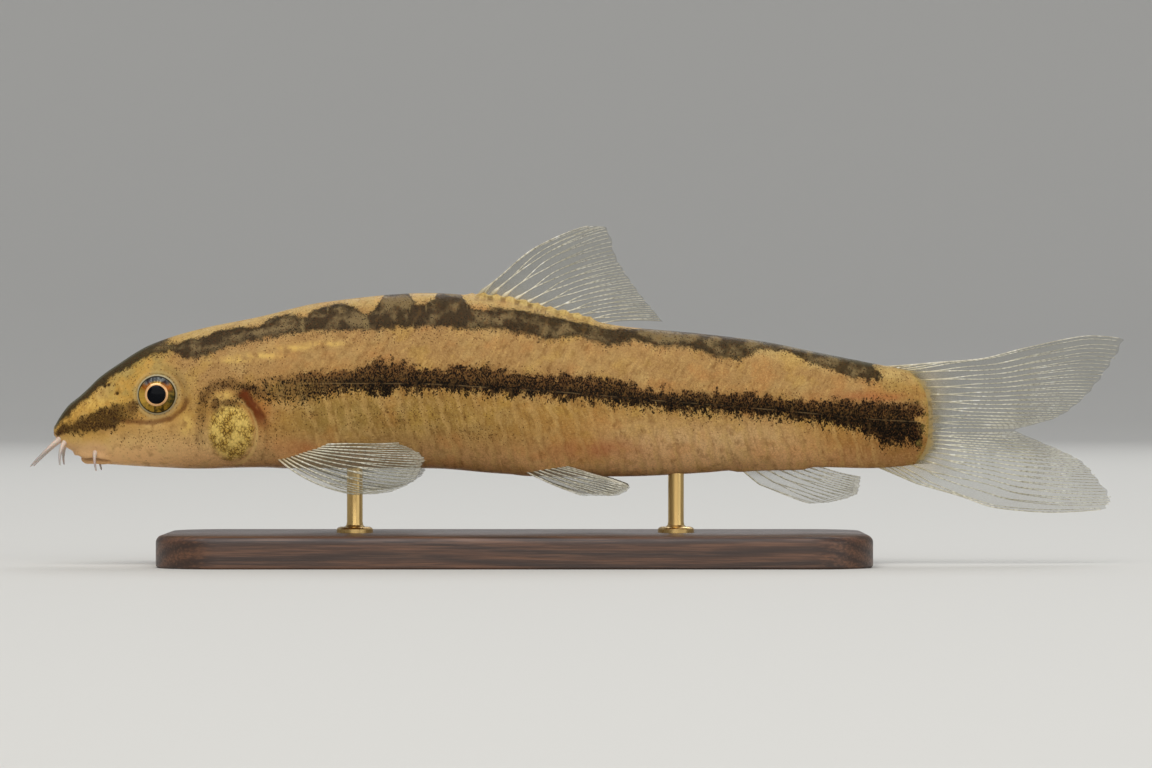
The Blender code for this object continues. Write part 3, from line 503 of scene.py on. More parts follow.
class LoachStand(bpy.types.PropertyGroup):
    """Sizes and colours of the display stand."""

    bevel: size_property("Edge", "Width of the base's rounded edge, in mm", 0.7)
    collar: size_property("Collar", "Radius of the brass collar round each rod, in mm", 1.7)
    collar_height: size_property("Collar height", "Height of each collar, in mm", 0.55)
    walnut: colour_property("Walnut", "Middle tone of the wood", tint(92, 60, 40))
    walnut_dark: colour_property("Dark grain", "Dark lines of the wood", tint(50, 31, 21))
    brass: colour_property("Brass", "Colour of the rods and collars", tint(214, 182, 120))


class LoachStage(bpy.types.PropertyGroup):
    """Camera, floor and lights."""

    lens: size_property("Lens", "Focal length in mm", 180.0)
    floor: colour_property("Floor", "Pale floor and backdrop", tint(208, 206, 200))
    key_power: size_property("Key light", "Power of the large light above, in watts", 7.8)
    fill_power: size_property("Fill light", "Power of the light to the right, in watts", 2.2)
    front_power: size_property("Front light", "Power of the low light before the fish, in watts", 9.5)
    rim_power: size_property("Rim light", "Power of the light behind the back, in watts", 3.0)


def smooth_through(rows):
    """A smooth function through rows of (knot, value, value, ...) that doesn't overshoot, for arrays too."""
    table = np.array(rows, float)
    knots, values = table[:, 0], table[:, 1:]
    width = np.diff(knots)[:, None]
    rise = np.diff(values, axis=0) / width
    before, after = rise[:-1], rise[1:]
    same_way = before * after > 0
    weight_before = 2 * width[1:] + width[:-1]
    weight_after = width[1:] + 2 * width[:-1]
    safe_before, safe_after = np.where(same_way, before, 1), np.where(same_way, after, 1)
    mean = (weight_before + weight_after) / (weight_before / safe_before + weight_after / safe_after)
    slope = np.vstack([rise[:1], np.where(same_way, mean, 0), rise[-1:]])

    def at(where):
        where = np.asarray(where, float)
        i = np.clip(np.searchsorted(knots, where) - 1, 0, len(knots) - 2)
        step = (knots[i + 1] - knots[i])[..., None]
        t = np.clip((where - knots[i])[..., None] / step, 0, 1)
        return (
            values[i] * (1 + 2 * t) * (1 - t) ** 2
            + values[i + 1] * t * t * (3 - 2 * t)
            + slope[i] * step * t * (1 - t) ** 2
            - slope[i + 1] * step * t * t * (1 - t)
        )

    return at


section_at = smooth_through(BODY_STATIONS)
gill_line_at = smooth_through(GILL_LINE)


def ease(value, low, high):
    """0 below low, 1 above high and a smooth rise between them."""
    share = np.clip((np.asarray(value, float) - low) / (high - low), 0, 1)
    return share * share * (3 - 2 * share)


def plateau(value, low, full, still_full, high):
    """1 from full to still_full, with a smooth fall to 0 at low and at high."""
    return ease(value, low, full) * (1 - ease(value, still_full, high))


def bell(distance, width):
    """1 at no distance and near 0 past twice the width."""
    return np.exp(-((np.asarray(distance, float) / width) ** 2))


def tail_line(height):
    """Where the flesh of the tail ends, as seen from the side."""
    reach = np.minimum(1.0, np.abs(np.asarray(height, float) - TAIL_MIDDLE_HEIGHT) / TAIL_HALF_DEPTH)
    return STANDARD_LENGTH - TAIL_CORNER * reach**TAIL_ROUNDING


def sway(along):
    swing = np.maximum(0.0, (np.asarray(along, float) - SWAY_START) / (TOTAL_LENGTH - SWAY_START))
    return TAIL_SWAY * swing * swing


def placed(points):
    """Places on the fish as points in metres."""
    points = np.asarray(points, float).reshape(-1, 3)
    along, out, height = points.T
    return np.stack([along - BASE_CENTRE_ALONG, out + sway(along), height + SNOUT_ABOVE_FLOOR], axis=1) * MM


def section_point(along, angle):
    """How far out and how high the skin is at this angle round the section, 0 being the right side."""
    back, belly, half_width, share, above, below = np.moveaxis(section_at(along), -1, 0)
    widest = belly + share * (back - belly)
    across, up = np.cos(angle), np.sin(angle)
    reach = np.where(up >= 0, back - widest, widest - belly)
    square = np.where(up >= 0, above, below)
    out = np.sign(across) * half_width * np.abs(across) ** (2 / square)
    height = widest + np.sign(up) * reach * np.abs(up) ** (2 / square)
    return out, height


def side_out(along, height):
    """How far the skin is from the middle plane at this height."""
    back, belly, half_width, share, above, below = np.moveaxis(section_at(along), -1, 0)
    widest = belly + share * (back - belly)
    upper = np.asarray(height) >= widest
    reach = np.where(upper, back - widest, belly - widest)
    square = np.where(upper, above, below)
    level = np.clip((height - widest) / reach, 0, 1)
    return half_width * (1 - level**square) ** (1 / square)


def skin_frame(along, height, side):
    """The place on the skin and its outward normal there."""
    step = 0.05
    slope_along = float(side_out(along + step, height) - side_out(along - step, height)) / (2 * step)
    slope_height = float(side_out(along, height + step) - side_out(along, height - step)) / (2 * step)
    normal = Vector((-slope_along, 1.0, -slope_height)).normalized()
    spot = Vector((along, side * float(side_out(along, height)), height))
    return spot, Vector((normal.x, side * normal.y, normal.z))


def new_mesh_object(name, points, faces, finish):
    """A smooth mesh object from points in metres, with its faces turned outwards."""
    mesh = bpy.data.meshes.new(name)
    mesh.from_pydata([tuple(point) for point in points], [], faces)
    shape = bmesh.new()
    shape.from_mesh(mesh)
    bmesh.ops.recalc_face_normals(shape, faces=shape.faces)
    shape.to_mesh(mesh)
    shape.free()
    made = bpy.data.objects.new(name, mesh)
    bpy.context.scene.collection.objects.link(made)
    mesh.materials.append(finish)
    mesh.shade_smooth()
    return made


def add_value(mesh, name, values):
    """Stores one number for each point of the mesh."""
    store = mesh.attributes.new(name, "FLOAT", "POINT")
    store.data.foreach_set("value", np.asarray(values, np.float32).ravel())


def finish_piece(made, slot, *nodes):
    """Fixes a finished piece to the one body and hides the solids it stands for."""
    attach(made, "root")
    if nodes:
        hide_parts(*nodes)


class Wiring:
    """Adds nodes to a tree and joins them.

    A value is an output, a number, or the name of a known pattern or of numbers that the mesh stores. A mask
    is a value, or a tuple of a value, where it is low, where it is high and what it gives there.
    """

    def __init__(self, tree):
        self.tree = tree
        self.known = {}

    def node(self, kind, inputs=None, **settings):
        made = self.tree.nodes.new(kind)
        for name, value in settings.items():
            setattr(made, name, value)
        for name, value in (inputs or {}).items():
            self.feed(made.inputs[name], value)
        return made

    def feed(self, socket, value):
        """Links an output to a socket, or sets the socket's own value."""
        if isinstance(value, bpy.types.NodeSocket):
            self.tree.links.new(value, socket)
        elif socket.type == "RGBA" and len(value) == 3:
            socket.default_value = (*value, 1.0)
        else:
            socket.default_value = value

    def value(self, given):
        """The output that a name stands for, and anything else as it is."""
        if not isinstance(given, str):
            return given
        if given not in self.known:
            self.known[given] = self.node("ShaderNodeAttribute", attribute_name=given).outputs["Fac"]
        return self.known[given]

    def sum(self, operation, first, second=0.0):
        made = self.node("ShaderNodeMath", operation=operation)
        for socket, value in zip(made.inputs, (first, second)):
            self.feed(socket, self.value(value))
        return made.outputs[0]

    def times(self, first, second):
        return self.sum("MULTIPLY", first, second)

    def plus(self, first, second):
        return self.sum("ADD", first, second)

    def band(self, value, low, high, bottom=0.0, top=1.0):
        """A smooth rise from bottom to top as the value goes from low to high."""
        inputs = {"Value": self.value(value), "From Min": low, "From Max": high}
        inputs.update({"To Min": bottom, "To Max": top})
        return self.node("ShaderNodeMapRange", inputs, interpolation_type="SMOOTHSTEP").outputs["Result"]

    def mask(self, *masks, strength=1.0):
        """The strength where every mask is high."""
        for mask in masks:
            level = self.band(*mask) if isinstance(mask, tuple) else self.value(mask)
            strength = level if strength == 1.0 else self.times(level, strength)
        return strength

    def mix(self, share, first, second, blend="MIX"):
        made = self.node("ShaderNodeMix", data_type="RGBA", blend_type=blend)
        for number, value in ((0, self.mask(share)), (6, first), (7, second)):
            self.feed(made.inputs[number], value)
        return made.outputs[2]

    def tone(self, colour, strength, shade, *masks):
        """Mixes a shade into the colour, up to this strength, where every mask is high."""
        return self.mix(self.mask(*masks, strength=strength), colour, shade)

    def paint(self, colour, *rows):
        """Lays tones over the colour in turn, each a row of strength, shade and masks."""
        for strength, shade, *masks in rows:
            colour = self.tone(colour, strength, shade, *masks)
        return colour

    def place(self):
        """The point's place in the object, in metres."""
        return self.node("ShaderNodeTexCoord").outputs["Object"]

    def stretched(self, *scale):
        return self.node("ShaderNodeMapping", {"Vector": self.place(), "Scale": scale}).outputs["Vector"]

    def vector(self, x, y, z=0.0):
        return self.node("ShaderNodeCombineXYZ", {"X": x, "Y": y, "Z": z}).outputs["Vector"]

    def noise(self, vector, detail=3.0, roughness=0.55, scale=1.0):
        inputs = {"Vector": vector, "Scale": scale, "Detail": detail, "Roughness": roughness}
        return self.node("ShaderNodeTexNoise", inputs).outputs["Fac"]

    def cell_edges(self, vector, warp):
        """Distance to the edges of a net of cells that a noise has bent out of straight."""
        noise = self.node("ShaderNodeTexNoise", {"Vector": vector, "Scale": 0.7, "Detail": 2.0})
        moved = self.node("ShaderNodeVectorMath", operation="MULTIPLY_ADD")
        for socket, value in zip(moved.inputs, (noise.outputs["Color"], (warp, warp, warp), vector)):
            self.feed(socket, value)
        inputs = {"Vector": moved.outputs["Vector"], "Scale": 1.0}
        return self.node("ShaderNodeTexVoronoi", inputs, feature="DISTANCE_TO_EDGE").outputs["Distance"]

    def bump(self, height, strength, distance):
        inputs = {"Height": height, "Strength": strength, "Distance": distance}
        return self.node("ShaderNodeBump", inputs).outputs["Normal"]

    def group(self, tree, **inputs):
        return self.node("ShaderNodeGroup", inputs, node_tree=tree).outputs


def new_material(name):
    """An empty material and the wiring for its tree."""
    made = bpy.data.materials.new(name)
    made.use_nodes = True
    made.node_tree.nodes.clear()
    return made, Wiring(made.node_tree)


def finish_material(made, wiring, values):
    """The material, once these values are on the sockets of its Principled shader."""
    shader = wiring.node("ShaderNodeBsdfPrincipled", values)
    output = wiring.node("ShaderNodeOutputMaterial")
    wiring.feed(output.inputs["Surface"], shader.outputs["BSDF"])
    return made


def new_group(name, inputs, outputs):
    """An empty shader group with these named inputs and their values, and these named outputs."""
    tree = bpy.data.node_groups.new(name, "ShaderNodeTree")
    tree.interface.new_socket("Vector", in_out="INPUT", socket_type="NodeSocketVector")
    for label, default in inputs.items():
        socket = tree.interface.new_socket(label, in_out="INPUT", socket_type="NodeSocketFloat")
        socket.default_value = default
    for label in outputs:
        tree.interface.new_socket(label, in_out="OUTPUT", socket_type="NodeSocketFloat")
    wiring = Wiring(tree)
    return tree, wiring, wiring.node("NodeGroupInput").outputs, wiring.node("NodeGroupOutput").inputs


def speckle_group():
    """Scattered fine dots: a share of the cells of a Voronoi pattern holds a dot, each of its own size."""
    found = bpy.data.node_groups.get("fine_speckles")
    if found:
        return found
    tree, wiring, given, result = new_group("fine_speckles", {"Share": 0.5, "Size": 0.3}, ("Mask",))
    cells = wiring.node("ShaderNodeTexVoronoi", {"Vector": given["Vector"], "Scale": 1.0})
    parts = wiring.node("ShaderNodeSeparateColor", {"Color": cells.outputs["Color"]})
    size = wiring.times(given["Size"], wiring.band(parts.outputs["Green"], 0.0, 1.0, 0.45, 1.0))
    inside = wiring.band(wiring.sum("SUBTRACT", size, cells.outputs["Distance"]), 0.0, 0.12)
    there = wiring.sum("LESS_THAN", parts.outputs["Red"], given["Share"])
    wiring.feed(result["Mask"], wiring.times(inside, there))
    return tree


def grain_group():
    """Fine uneven relief and a mask for small changes of gloss."""
    found = bpy.data.node_groups.get("wet_grain")
    if found:
        return found
    tree, wiring, given, result = new_group("wet_grain", {"Fineness": 2500.0}, ("Height", "Mask"))
    fine = wiring.noise(given["Vector"], 4.0, 0.5, given["Fineness"])
    coarse = wiring.noise(given["Vector"], 2.0, 0.5, wiring.times(given["Fineness"], 0.17))
    wiring.feed(result["Height"], wiring.plus(wiring.times(fine, 0.4), wiring.times(coarse, 0.6)))
    wiring.feed(result["Mask"], wiring.band(coarse, 0.35, 0.65))
    return tree


def skin_rings():
    """The rings of the skin as (along, how much narrower, how much lower, how far past the flesh's end)."""
    rings = []
    for step in range(1, SNOUT_CAP_RINGS + 1):
        turn = math.pi / 2 * step / (SNOUT_CAP_RINGS + 1)
        rings.append((-SNOUT_BULGE * math.cos(turn), math.sin(turn), math.sin(turn), 0.0))
    head_rings = round(HEAD_END / HEAD_STEP)
    rings += [(HEAD_END * step / head_rings, 1.0, 1.0, 0.0) for step in range(head_rings)]
    length = STANDARD_LENGTH - HEAD_END
    body_rings = round(length / BODY_STEP)
    rings += [(HEAD_END + length * step / body_rings, 1.0, 1.0, 0.0) for step in range(body_rings + 1)]
    for step in range(1, FLAP_RINGS + 1):
        share = step / FLAP_RINGS
        width = 1 - (1 - FLAP_END_WIDTH) * share**FLAP_THINNING
        rings.append((STANDARD_LENGTH, width, 1 - FLAP_LOWERING * share**2, FLAP_REACH * share))
    return np.array(rings)


def sleeve_rings():
    """The rings of the sleeve at the tail's end. They start inside the skin."""
    rings = []
    for step in range(SLEEVE_RINGS):
        past = SLEEVE_START + (SLEEVE_REACH - SLEEVE_START) * step / (SLEEVE_RINGS - 1)
        share = max(0.0, past / SLEEVE_REACH)
        width = SLEEVE_WIDTH - (SLEEVE_WIDTH - SLEEVE_END_WIDTH) * share**SLEEVE_THINNING
        rings.append((STANDARD_LENGTH, width, SLEEVE_DEPTH, past))
    return np.array(rings)


def body_grid(rings):
    """Places (ring, side, 3) on the smooth body, with the sides counted from the belly up the right."""
    nominal, narrow, low, past = (column[:, None] for column in rings.T)
    angle = (-math.pi / 2 + 2 * math.pi * np.arange(SKIN_SIDES) / SKIN_SIDES)[None, :]
    along = np.broadcast_to(nominal, (len(rings), SKIN_SIDES))
    near_end = ease(nominal, TAIL_LINE_START, STANDARD_LENGTH)
    for _ in range(TAIL_LINE_ROUNDS):
        out, height = section_point(np.clip(along, 0, STANDARD_LENGTH), angle)
        along = nominal - near_end * (STANDARD_LENGTH - tail_line(height))
    middle = (height.max(axis=1) + height.min(axis=1))[:, None] / 2
    height = middle + (height - middle) * low
    return np.stack([along + past, out * narrow, height], axis=2)


def grid_normals(grid):
    """Outward normals of the closed grid of rings."""
    around = np.roll(grid, -1, axis=1) - np.roll(grid, 1, axis=1)
    lengthwise = np.gradient(grid, axis=0)
    normal = np.cross(around, lengthwise)
    normal /= np.maximum(np.linalg.norm(normal, axis=2, keepdims=True), 1e-12)
    outward = np.sign(np.sum(normal * (grid - grid.mean(axis=1, keepdims=True)), axis=2).mean())
    return normal * outward


def seen_along(grid):
    """Where a place shows from the side: the nearer the skin, the further from the view's middle it looks."""
    along, out, _ = np.moveaxis(grid, 2, 0)
    return VIEW_ALONG + (along - VIEW_ALONG) * (1 + np.abs(out) / VIEW_DISTANCE)


def line_distance(grid, line):
    """The distance to a line of points, as seen from the side."""
    along, height = seen_along(grid), grid[..., 2]
    nearest = np.full(along.shape, 1e9)
    for (a0, h0), (a1, h1) in zip(line, line[1:]):
        length = (a1 - a0) ** 2 + (h1 - h0) ** 2
        share = np.clip(((along - a0) * (a1 - a0) + (height - h0) * (h1 - h0)) / length, 0, 1)
        apart = np.hypot(along - a0 - share * (a1 - a0), height - h0 - share * (h1 - h0))
        nearest = np.minimum(nearest, apart)
    return nearest


def eye_centre_out():
    return float(side_out(EYE_ALONG, EYE_HEIGHT)) - EYE_SUNK


def eye_surface(distance):
    """How far out the eyeball reaches at this distance from its middle, as seen from the side."""
    level = np.clip(1 - (distance / EYE_RADIUS) ** 2, 0, 1)
    return eye_centre_out() + EYE_HALF_THICKNESS * np.sqrt(level)


def set_eye_sockets(grid, sizes):
    """Dishes the skin round each eye, raises a rim at its opening and sinks the skin behind the eyeball."""
    along, out, height = np.moveaxis(grid, 2, 0)
    apart = np.hypot(along - EYE_ALONG, height - EYE_HEIGHT)
    opening_out = float(eye_surface(EYE_OPENING))
    rim = opening_out + EYE_RIM_CLEAR + sizes.eye_rim * bell(apart - EYE_RIM_RADIUS, EYE_RIM_WIDTH)
    pull = 1 - ease(apart, EYE_RIM_RADIUS - EYE_RIM_INSIDE, EYE_DISH_RADIUS)
    reached = np.abs(out) * (1 - pull) + rim * pull
    sunk = SOCKET_GAP + SOCKET_DEPTH * (1 - ease(apart, SOCKET_FLOOR_RADIUS, EYE_OPENING))
    reached = np.where(apart < EYE_OPENING, eye_surface(apart) - sunk, reached)
    near = (apart < EYE_DISH_RADIUS) & (np.abs(out) > EYE_LEAST_OUT)
    grid[..., 1] = np.where(near, np.sign(out) * reached, out)


def mouth_radius(grid):
    """1 on the cleft of the mouth, less inside it towards the chin, more outside it."""
    along, out, _ = np.moveaxis(grid, 2, 0)
    return np.hypot((MOUTH_ALONG - along) / MOUTH_REACH, out / MOUTH_HALF_WIDTH)


def mouth_share(grid):
    """1 on the underside of the snout, where the mouth is, and 0 elsewhere."""
    along, _, height = np.moveaxis(grid, 2, 0)
    return (1 - ease(along, *MOUTH_END)) * (1 - ease(height, *MOUTH_TOP))


def cover_distance(grid):
    """1 on the rim of the gill cover's plate and 0 at its middle."""
    along, _, height = np.moveaxis(grid, 2, 0)
    return np.hypot((along - COVER_ALONG) / COVER_HALF_LENGTH, (height - COVER_HEIGHT) / COVER_HALF_HEIGHT)


def relief(grid, sizes):
    """How far the skin stands out from the smooth body, in millimetres."""
    along, out, height = np.moveaxis(grid, 2, 0)
    from_cleft = (mouth_radius(grid) - 1) * MOUTH_SCALE
    lips = sum(sizes.lip * bell(from_cleft - place, width) for place, width in LIPS)
    raised = mouth_share(grid) * (lips - CLEFT_DEPTH * bell(from_cleft, CLEFT_WIDTH))

    cover = cover_distance(grid)
    raised += COVER_SWELL * np.clip(1 - cover**2, 0, 1)
    raised -= COVER_GROOVE * bell(cover - COVER_EDGE, COVER_EDGE_WIDTH)
    behind_gill = along - gill_line_at(height)[..., 0]
    flap = GILL_FLAP * ease(behind_gill, -1.7, -0.1) * (behind_gill <= 0)
    slit = -GILL_SLIT_DEPTH * np.exp(-np.maximum(behind_gill, 0) / GILL_SLIT_WIDTH) * (behind_gill > 0)
    raised += plateau(height, -3.2, -1.0, 4.2, 6.0) * (flap + slit)
    for line, depth, width in SKIN_GROOVES:
        raised -= depth * bell(line_distance(grid, line), width)

    for spot, radius, depth in NOSTRIL_PITS:
        raised -= depth * bell(np.hypot(along - spot[0], height - spot[1]), radius)
    from_nostril = np.hypot(along - NOSTRIL_ALONG, height - NOSTRIL_HEIGHT)
    rim = bell(from_nostril - NOSTRIL_RIM_RADIUS, NOSTRIL_RIM_WIDTH) * ease(height, 3.5, 3.9)
    raised += NOSTRIL_RIM * rim

    ridge = bell(np.abs(out), FIN_RIDGE_WIDTH)
    bumps = 1 + DORSAL_BUMP_SHARE * np.cos(2 * math.pi * along / DORSAL_BUMPS)
    raised += DORSAL_RIDGE * bumps * ridge * plateau(along, 38.0, 39.6, 49.5, 51.0) * (height > 5)
    raised += ANAL_RIDGE * ridge * plateau(along, 62.8, 64.0, 69.6, 71.0) * (height < 0)
    for fin_along, fin_height, swell, from_middle in FIN_SWELLS:
        apart = np.hypot(along - fin_along, FIN_SWELL_STRETCH * (height - fin_height))
        raised += swell * bell(apart, FIN_SWELL_RADIUS) * (np.abs(out) >= from_middle)

    bands = np.cos(2 * math.pi * muscle_place(grid) / sizes.muscle_spacing)
    flank = plateau(along, 21.0, 25.0, 76.0, 80.0) * bell(height - FLANK_HEIGHT, FLANK_REACH)
    return raised + sizes.muscle * bands * flank


def muscle_place(grid):
    """Distance along the flank, slanted back above and below the lateral line as the muscle bands are."""
    along, _, height = np.moveaxis(grid, 2, 0)
    from_line = height - lateral_height(along)
    above, below = np.maximum(from_line, 0), np.minimum(from_line, 0)
    return along - MUSCLE_SLANT_ABOVE * above + MUSCLE_CURVE * above**2 + MUSCLE_SLANT_BELOW * below


def lateral_height(along):
    return smooth_through(LATERAL_LINE)(along)[..., 0]


def ring_arcs(grid):
    """Distance over the skin from the middle of the back, on each side of each ring."""
    step = np.linalg.norm(np.diff(np.concatenate([grid, grid[:, :1]], axis=1), axis=1), axis=2)
    walked = np.concatenate([np.zeros((len(grid), 1)), np.cumsum(step, axis=1)[:, :-1]], axis=1)
    top = SKIN_SIDES // 2
    return np.abs(walked - walked[:, top : top + 1])


def stripe_depth(grid, arcs, top_line, bottom_line, span):
    """How deep each point lies inside a stripe, measured over the skin, and negative outside it."""
    top_at, bottom_at = smooth_through(top_line), smooth_through(bottom_line)
    depth = np.zeros(arcs.shape)
    along = seen_along(grid)
    half = slice(0, SKIN_SIDES // 2 + 1)
    for ring in range(len(grid)):
        heights, walked = grid[ring, half, 2], arcs[ring, half]
        middle = along[ring, SKIN_SIDES // 4]
        top, bottom = float(top_at(middle)[0]), float(bottom_at(middle)[0])
        above_back = max(0.0, top - heights[-1])
        upper = np.interp(top, heights, walked) - above_back
        lower = np.interp(bottom, heights, walked)
        depth[ring] = np.minimum(arcs[ring] - upper, lower - arcs[ring])
    return np.minimum(depth, np.minimum(along - span[0], span[1] - along))


def spots(grid, table):
    """How strong the nearest of several soft oval spots is, from 0 to 1."""
    along, height = seen_along(grid), grid[..., 2]
    strength = np.zeros(along.shape)
    for spot_along, spot_height, half_length, half_height in table:
        away = ((along - spot_along) / half_length) ** 2 + ((height - spot_height) / half_height) ** 2
        strength = np.maximum(strength, np.exp(-away))
    return strength


def mark_skin(mesh, grid):
    """Stores where the markings are, for the skin's material."""
    along, _, height = np.moveaxis(grid, 2, 0)
    arcs = ring_arcs(grid)
    back, belly = np.moveaxis(section_at(np.clip(along, 0, STANDARD_LENGTH))[..., :2], -1, 0)
    crown_top = tuple((knot, ABOVE_BACK) for knot, _ in CROWN_BOTTOM)
    crown = stripe_depth(grid, arcs, crown_top, CROWN_BOTTOM, CROWN_SPAN)
    back_stripe = stripe_depth(grid, arcs, BACK_STRIPE_TOP, BACK_STRIPE_BOTTOM, BACK_STRIPE_SPAN)
    slanted = seen_along(grid) + BACK_GAP_SLANT * (height - BACK_GAP_HEIGHT)
    gaps = np.min([np.abs(slanted - gap) / half_width for gap, half_width in BACK_STRIPE_GAPS], axis=0)
    nostrils = [np.hypot(along - spot[0], height - spot[1]) for spot, _, _ in NOSTRIL_PITS]
    values = {
        "side_stripe": stripe_depth(grid, arcs, SIDE_STRIPE_TOP, SIDE_STRIPE_BOTTOM, SIDE_STRIPE_SPAN),
        "back_stripe": np.maximum(back_stripe, crown),
        "back_gap": gaps,
        "snout_stripe": stripe_depth(grid, arcs, SNOUT_STRIPE_TOP, SNOUT_STRIPE_BOTTOM, SNOUT_STRIPE_SPAN),
        "lateral_line": height - lateral_height(along),
        "muscle": muscle_place(grid),
        "level": (height - belly) / (back - belly),
        "along": along,
        "from_back": arcs,
        "past_tail": along - tail_line(height),
        "cover": cover_distance(grid),
        "eye_groove": line_distance(grid, EYE_GROOVE),
        "cheek_arch": line_distance(grid, CHEEK_ARCH),
        "gill_slit": line_distance(grid, GILL_SLIT),
        "from_eye": np.hypot(along - EYE_ALONG, height - EYE_HEIGHT),
        "gold_spot": spots(grid, GOLD_SPOTS),
        "dark_spot": spots(grid, DARK_SPOTS),
        "red_spot": spots(grid, RED_SPOTS),
        "freckle_spot": spots(grid, FRECKLE_SPOTS),
        "lip": mouth_share(grid),
        # Where the mouth's cleft and the nostril pits are, for the shade painted into them
        "mouth": mouth_share(grid) * bell((mouth_radius(grid) - 1) * MOUTH_SCALE, MOUTH_LINE_WIDTH),
        "nostrils": np.min(nostrils, axis=0),
    }
    for name, value in values.items():
        add_value(mesh, name, value)


def ring_cap(first):
    """Faces that close a ring straight across from side to side."""
    half = SKIN_SIDES // 2
    faces = [(first, first + 1, first + SKIN_SIDES - 1)]
    for step in range(1, half - 1):
        here, there = first + step, first + SKIN_SIDES - step
        faces.append((here, here + 1, there - 1, there))
    faces.append((first + half - 1, first + half, first + half + 1))
    return faces


def ring_faces(rings, sides):
    """Faces of a tube of rings, without its ends."""
    faces = []
    for start in range(0, (rings - 1) * sides, sides):
        for side in range(sides):
            here, there = start + side, start + (side + 1) % sides
            faces.append((here, there, there + sides, here + sides))
    return faces


def tube_faces(rings, sides):
    """Faces of a tube of rings with one flat face at each end."""
    return ring_faces(rings, sides) + [tuple(range(sides)), tuple(range((rings - 1) * sides, rings * sides))]


def body_faces(rings):
    """Faces of the skin or of the sleeve, with both ends closed from side to side."""
    return ring_faces(rings, SKIN_SIDES) + ring_cap(0) + ring_cap((rings - 1) * SKIN_SIDES)


def skin_patterns(wiring, sizes):
    """Names the noises and waves that the skin's layers share."""
    known = wiring.known
    known["fine"] = wiring.noise(wiring.stretched(5200, 5200, 4600), 3.0, 0.6)
    known["soft"] = wiring.noise(wiring.stretched(430, 430, 430))
    known["mottle"] = wiring.noise(wiring.stretched(1300, 1300, 1100), 3.0, 0.6)
    known["uneven"] = wiring.plus("mottle", -0.5)
    known["hue"] = wiring.noise(wiring.stretched(250, 250, 330), 3.0, 0.6)
    known["scales"] = wiring.band(wiring.cell_edges(wiring.stretched(3300, 3300, 3900), 1.1), 0.16, 0.0)
    slant = wiring.vector(wiring.times("muscle", 1.9), wiring.times("lateral_line", 0.75))
    known["streaks"] = wiring.noise(slant, 4.0, 0.62)
    shifted = wiring.plus("muscle", wiring.times(wiring.plus("soft", -0.5), 1.6))
    turn = wiring.times(shifted, 2 * math.pi / sizes.muscle_spacing)
    known["wave"] = wiring.plus(wiring.sum("SINE", turn), wiring.times("uneven", 1.4))
    known["wave_edge"] = wiring.sum("SINE", wiring.plus(turn, -0.9))
    knobs = wiring.sum("COSINE", wiring.times("along", 2 * math.pi / DORSAL_BUMPS))
    known["knobs"] = wiring.plus(knobs, wiring.times("uneven", 3.0))


def ground_colour(wiring, colours):
    """Tan flanks: orange under the tail, olive over the gut, pinkish under the head, golden on top."""
    under, sheath = ("level", 0.45, 0.12), (("along", 38.8, 39.8), ("along", 51.0, 49.5))
    gut, temple = (("along", 20.5, 25.0), ("along", 50.0, 30.0)), (("along", 3.5, 6.5), ("along", 13.0, 10.0))
    between_knobs = (("knobs", 0.1, -0.8), ("mottle", 0.3, 0.5, 0.5, 1.0), ("from_back", 0.15, 0.45))
    colour = wiring.mix(("level", 0.42, 0.68), colours.flank, colours.upper_flank)
    colour = wiring.paint(
        colour,
        (0.8, colours.belly, under, ("along", 38.0, 50.0)),
        (0.9, colours.throat, under, ("along", 23.0, 15.0)),
        (0.7, tint(232, 200, 164), ("along", 47.0, 56.0), ("along", 74.0, 65.0), ("level", 0.5, 0.2)),
        (0.75, colours.gut, *gut, ("level", 0.5, 0.35), ("level", 0.0, 0.12)),
        (0.66, tint(240, 190, 150), ("level", 0.28, 0.03)),
        (0.65, tint(180, 150, 88), ("along", 75.0, 78.5), ("level", 0.6, 0.74)),
        (0.75, colours.gold, ("along", 13.0, 8.0), ("level", 0.36, 0.6)),
        (0.6, tint(150, 140, 92), *temple, ("soft", 0.4, 0.6), ("level", 0.5, 0.7)),
        (0.8, colours.cream, ("from_back", 3.2, 1.6), ("along", 9.5, 13.0)),
        (0.6, tint(228, 206, 146), *sheath, ("from_back", 1.1, 0.5)),
        (0.75, tint(92, 66, 40), *sheath, *between_knobs, ("from_back", 1.5, 0.9)),
        (0.4, colours.cream, ("soft", 0.48, 0.72)),
        (0.28, tint(204, 138, 82), ("hue", 0.52, 0.68), ("along", 13.0, 24.0)),
        (0.35, tint(196, 160, 84), ("hue", 0.48, 0.34)),
        (0.36, tint(120, 86, 50), ("mottle", 0.5, 0.3)),
        (0.75, tint(124, 84, 46), ("along", 68.0, 80.0), ("level", 0.4, 0.2)),
    )

    # Slanted streaks between the muscle bands, and a thin pale line with a dark edge at each band's end
    body = (("along", 20.0, 26.0), ("along", 80.5, 74.0))
    below = (("lateral_line", 0.5, -0.8, 0.35, 1.0), *body)
    return wiring.paint(
        colour,
        (0.5, tint(212, 176, 122), ("streaks", 0.52, 0.68), *body),
        (0.45, tint(122, 84, 48), ("streaks", 0.46, 0.32), *body),
        (0.2, tint(118, 80, 46), ("wave_edge", 0.5, 1.0), *below),
        (0.42, tint(222, 186, 130), ("wave", 0.3, 1.3), *below),
        (0.22, tint(110, 78, 44), "scales", ("along", 9.0, 14.0)),
        (0.22, tint(104, 70, 40), ("fine", 0.54, 0.68)),
        (0.2, tint(222, 188, 132), ("fine", 0.46, 0.33)),
        (0.66, colours.bright_gold, "gold_spot", ("mottle", 0.38, 0.6, 0.1, 1.0)),
        (0.6, tint(168, 88, 60), "red_spot", ("soft", 0.3, 0.6, 0.5, 1.0)),
    )


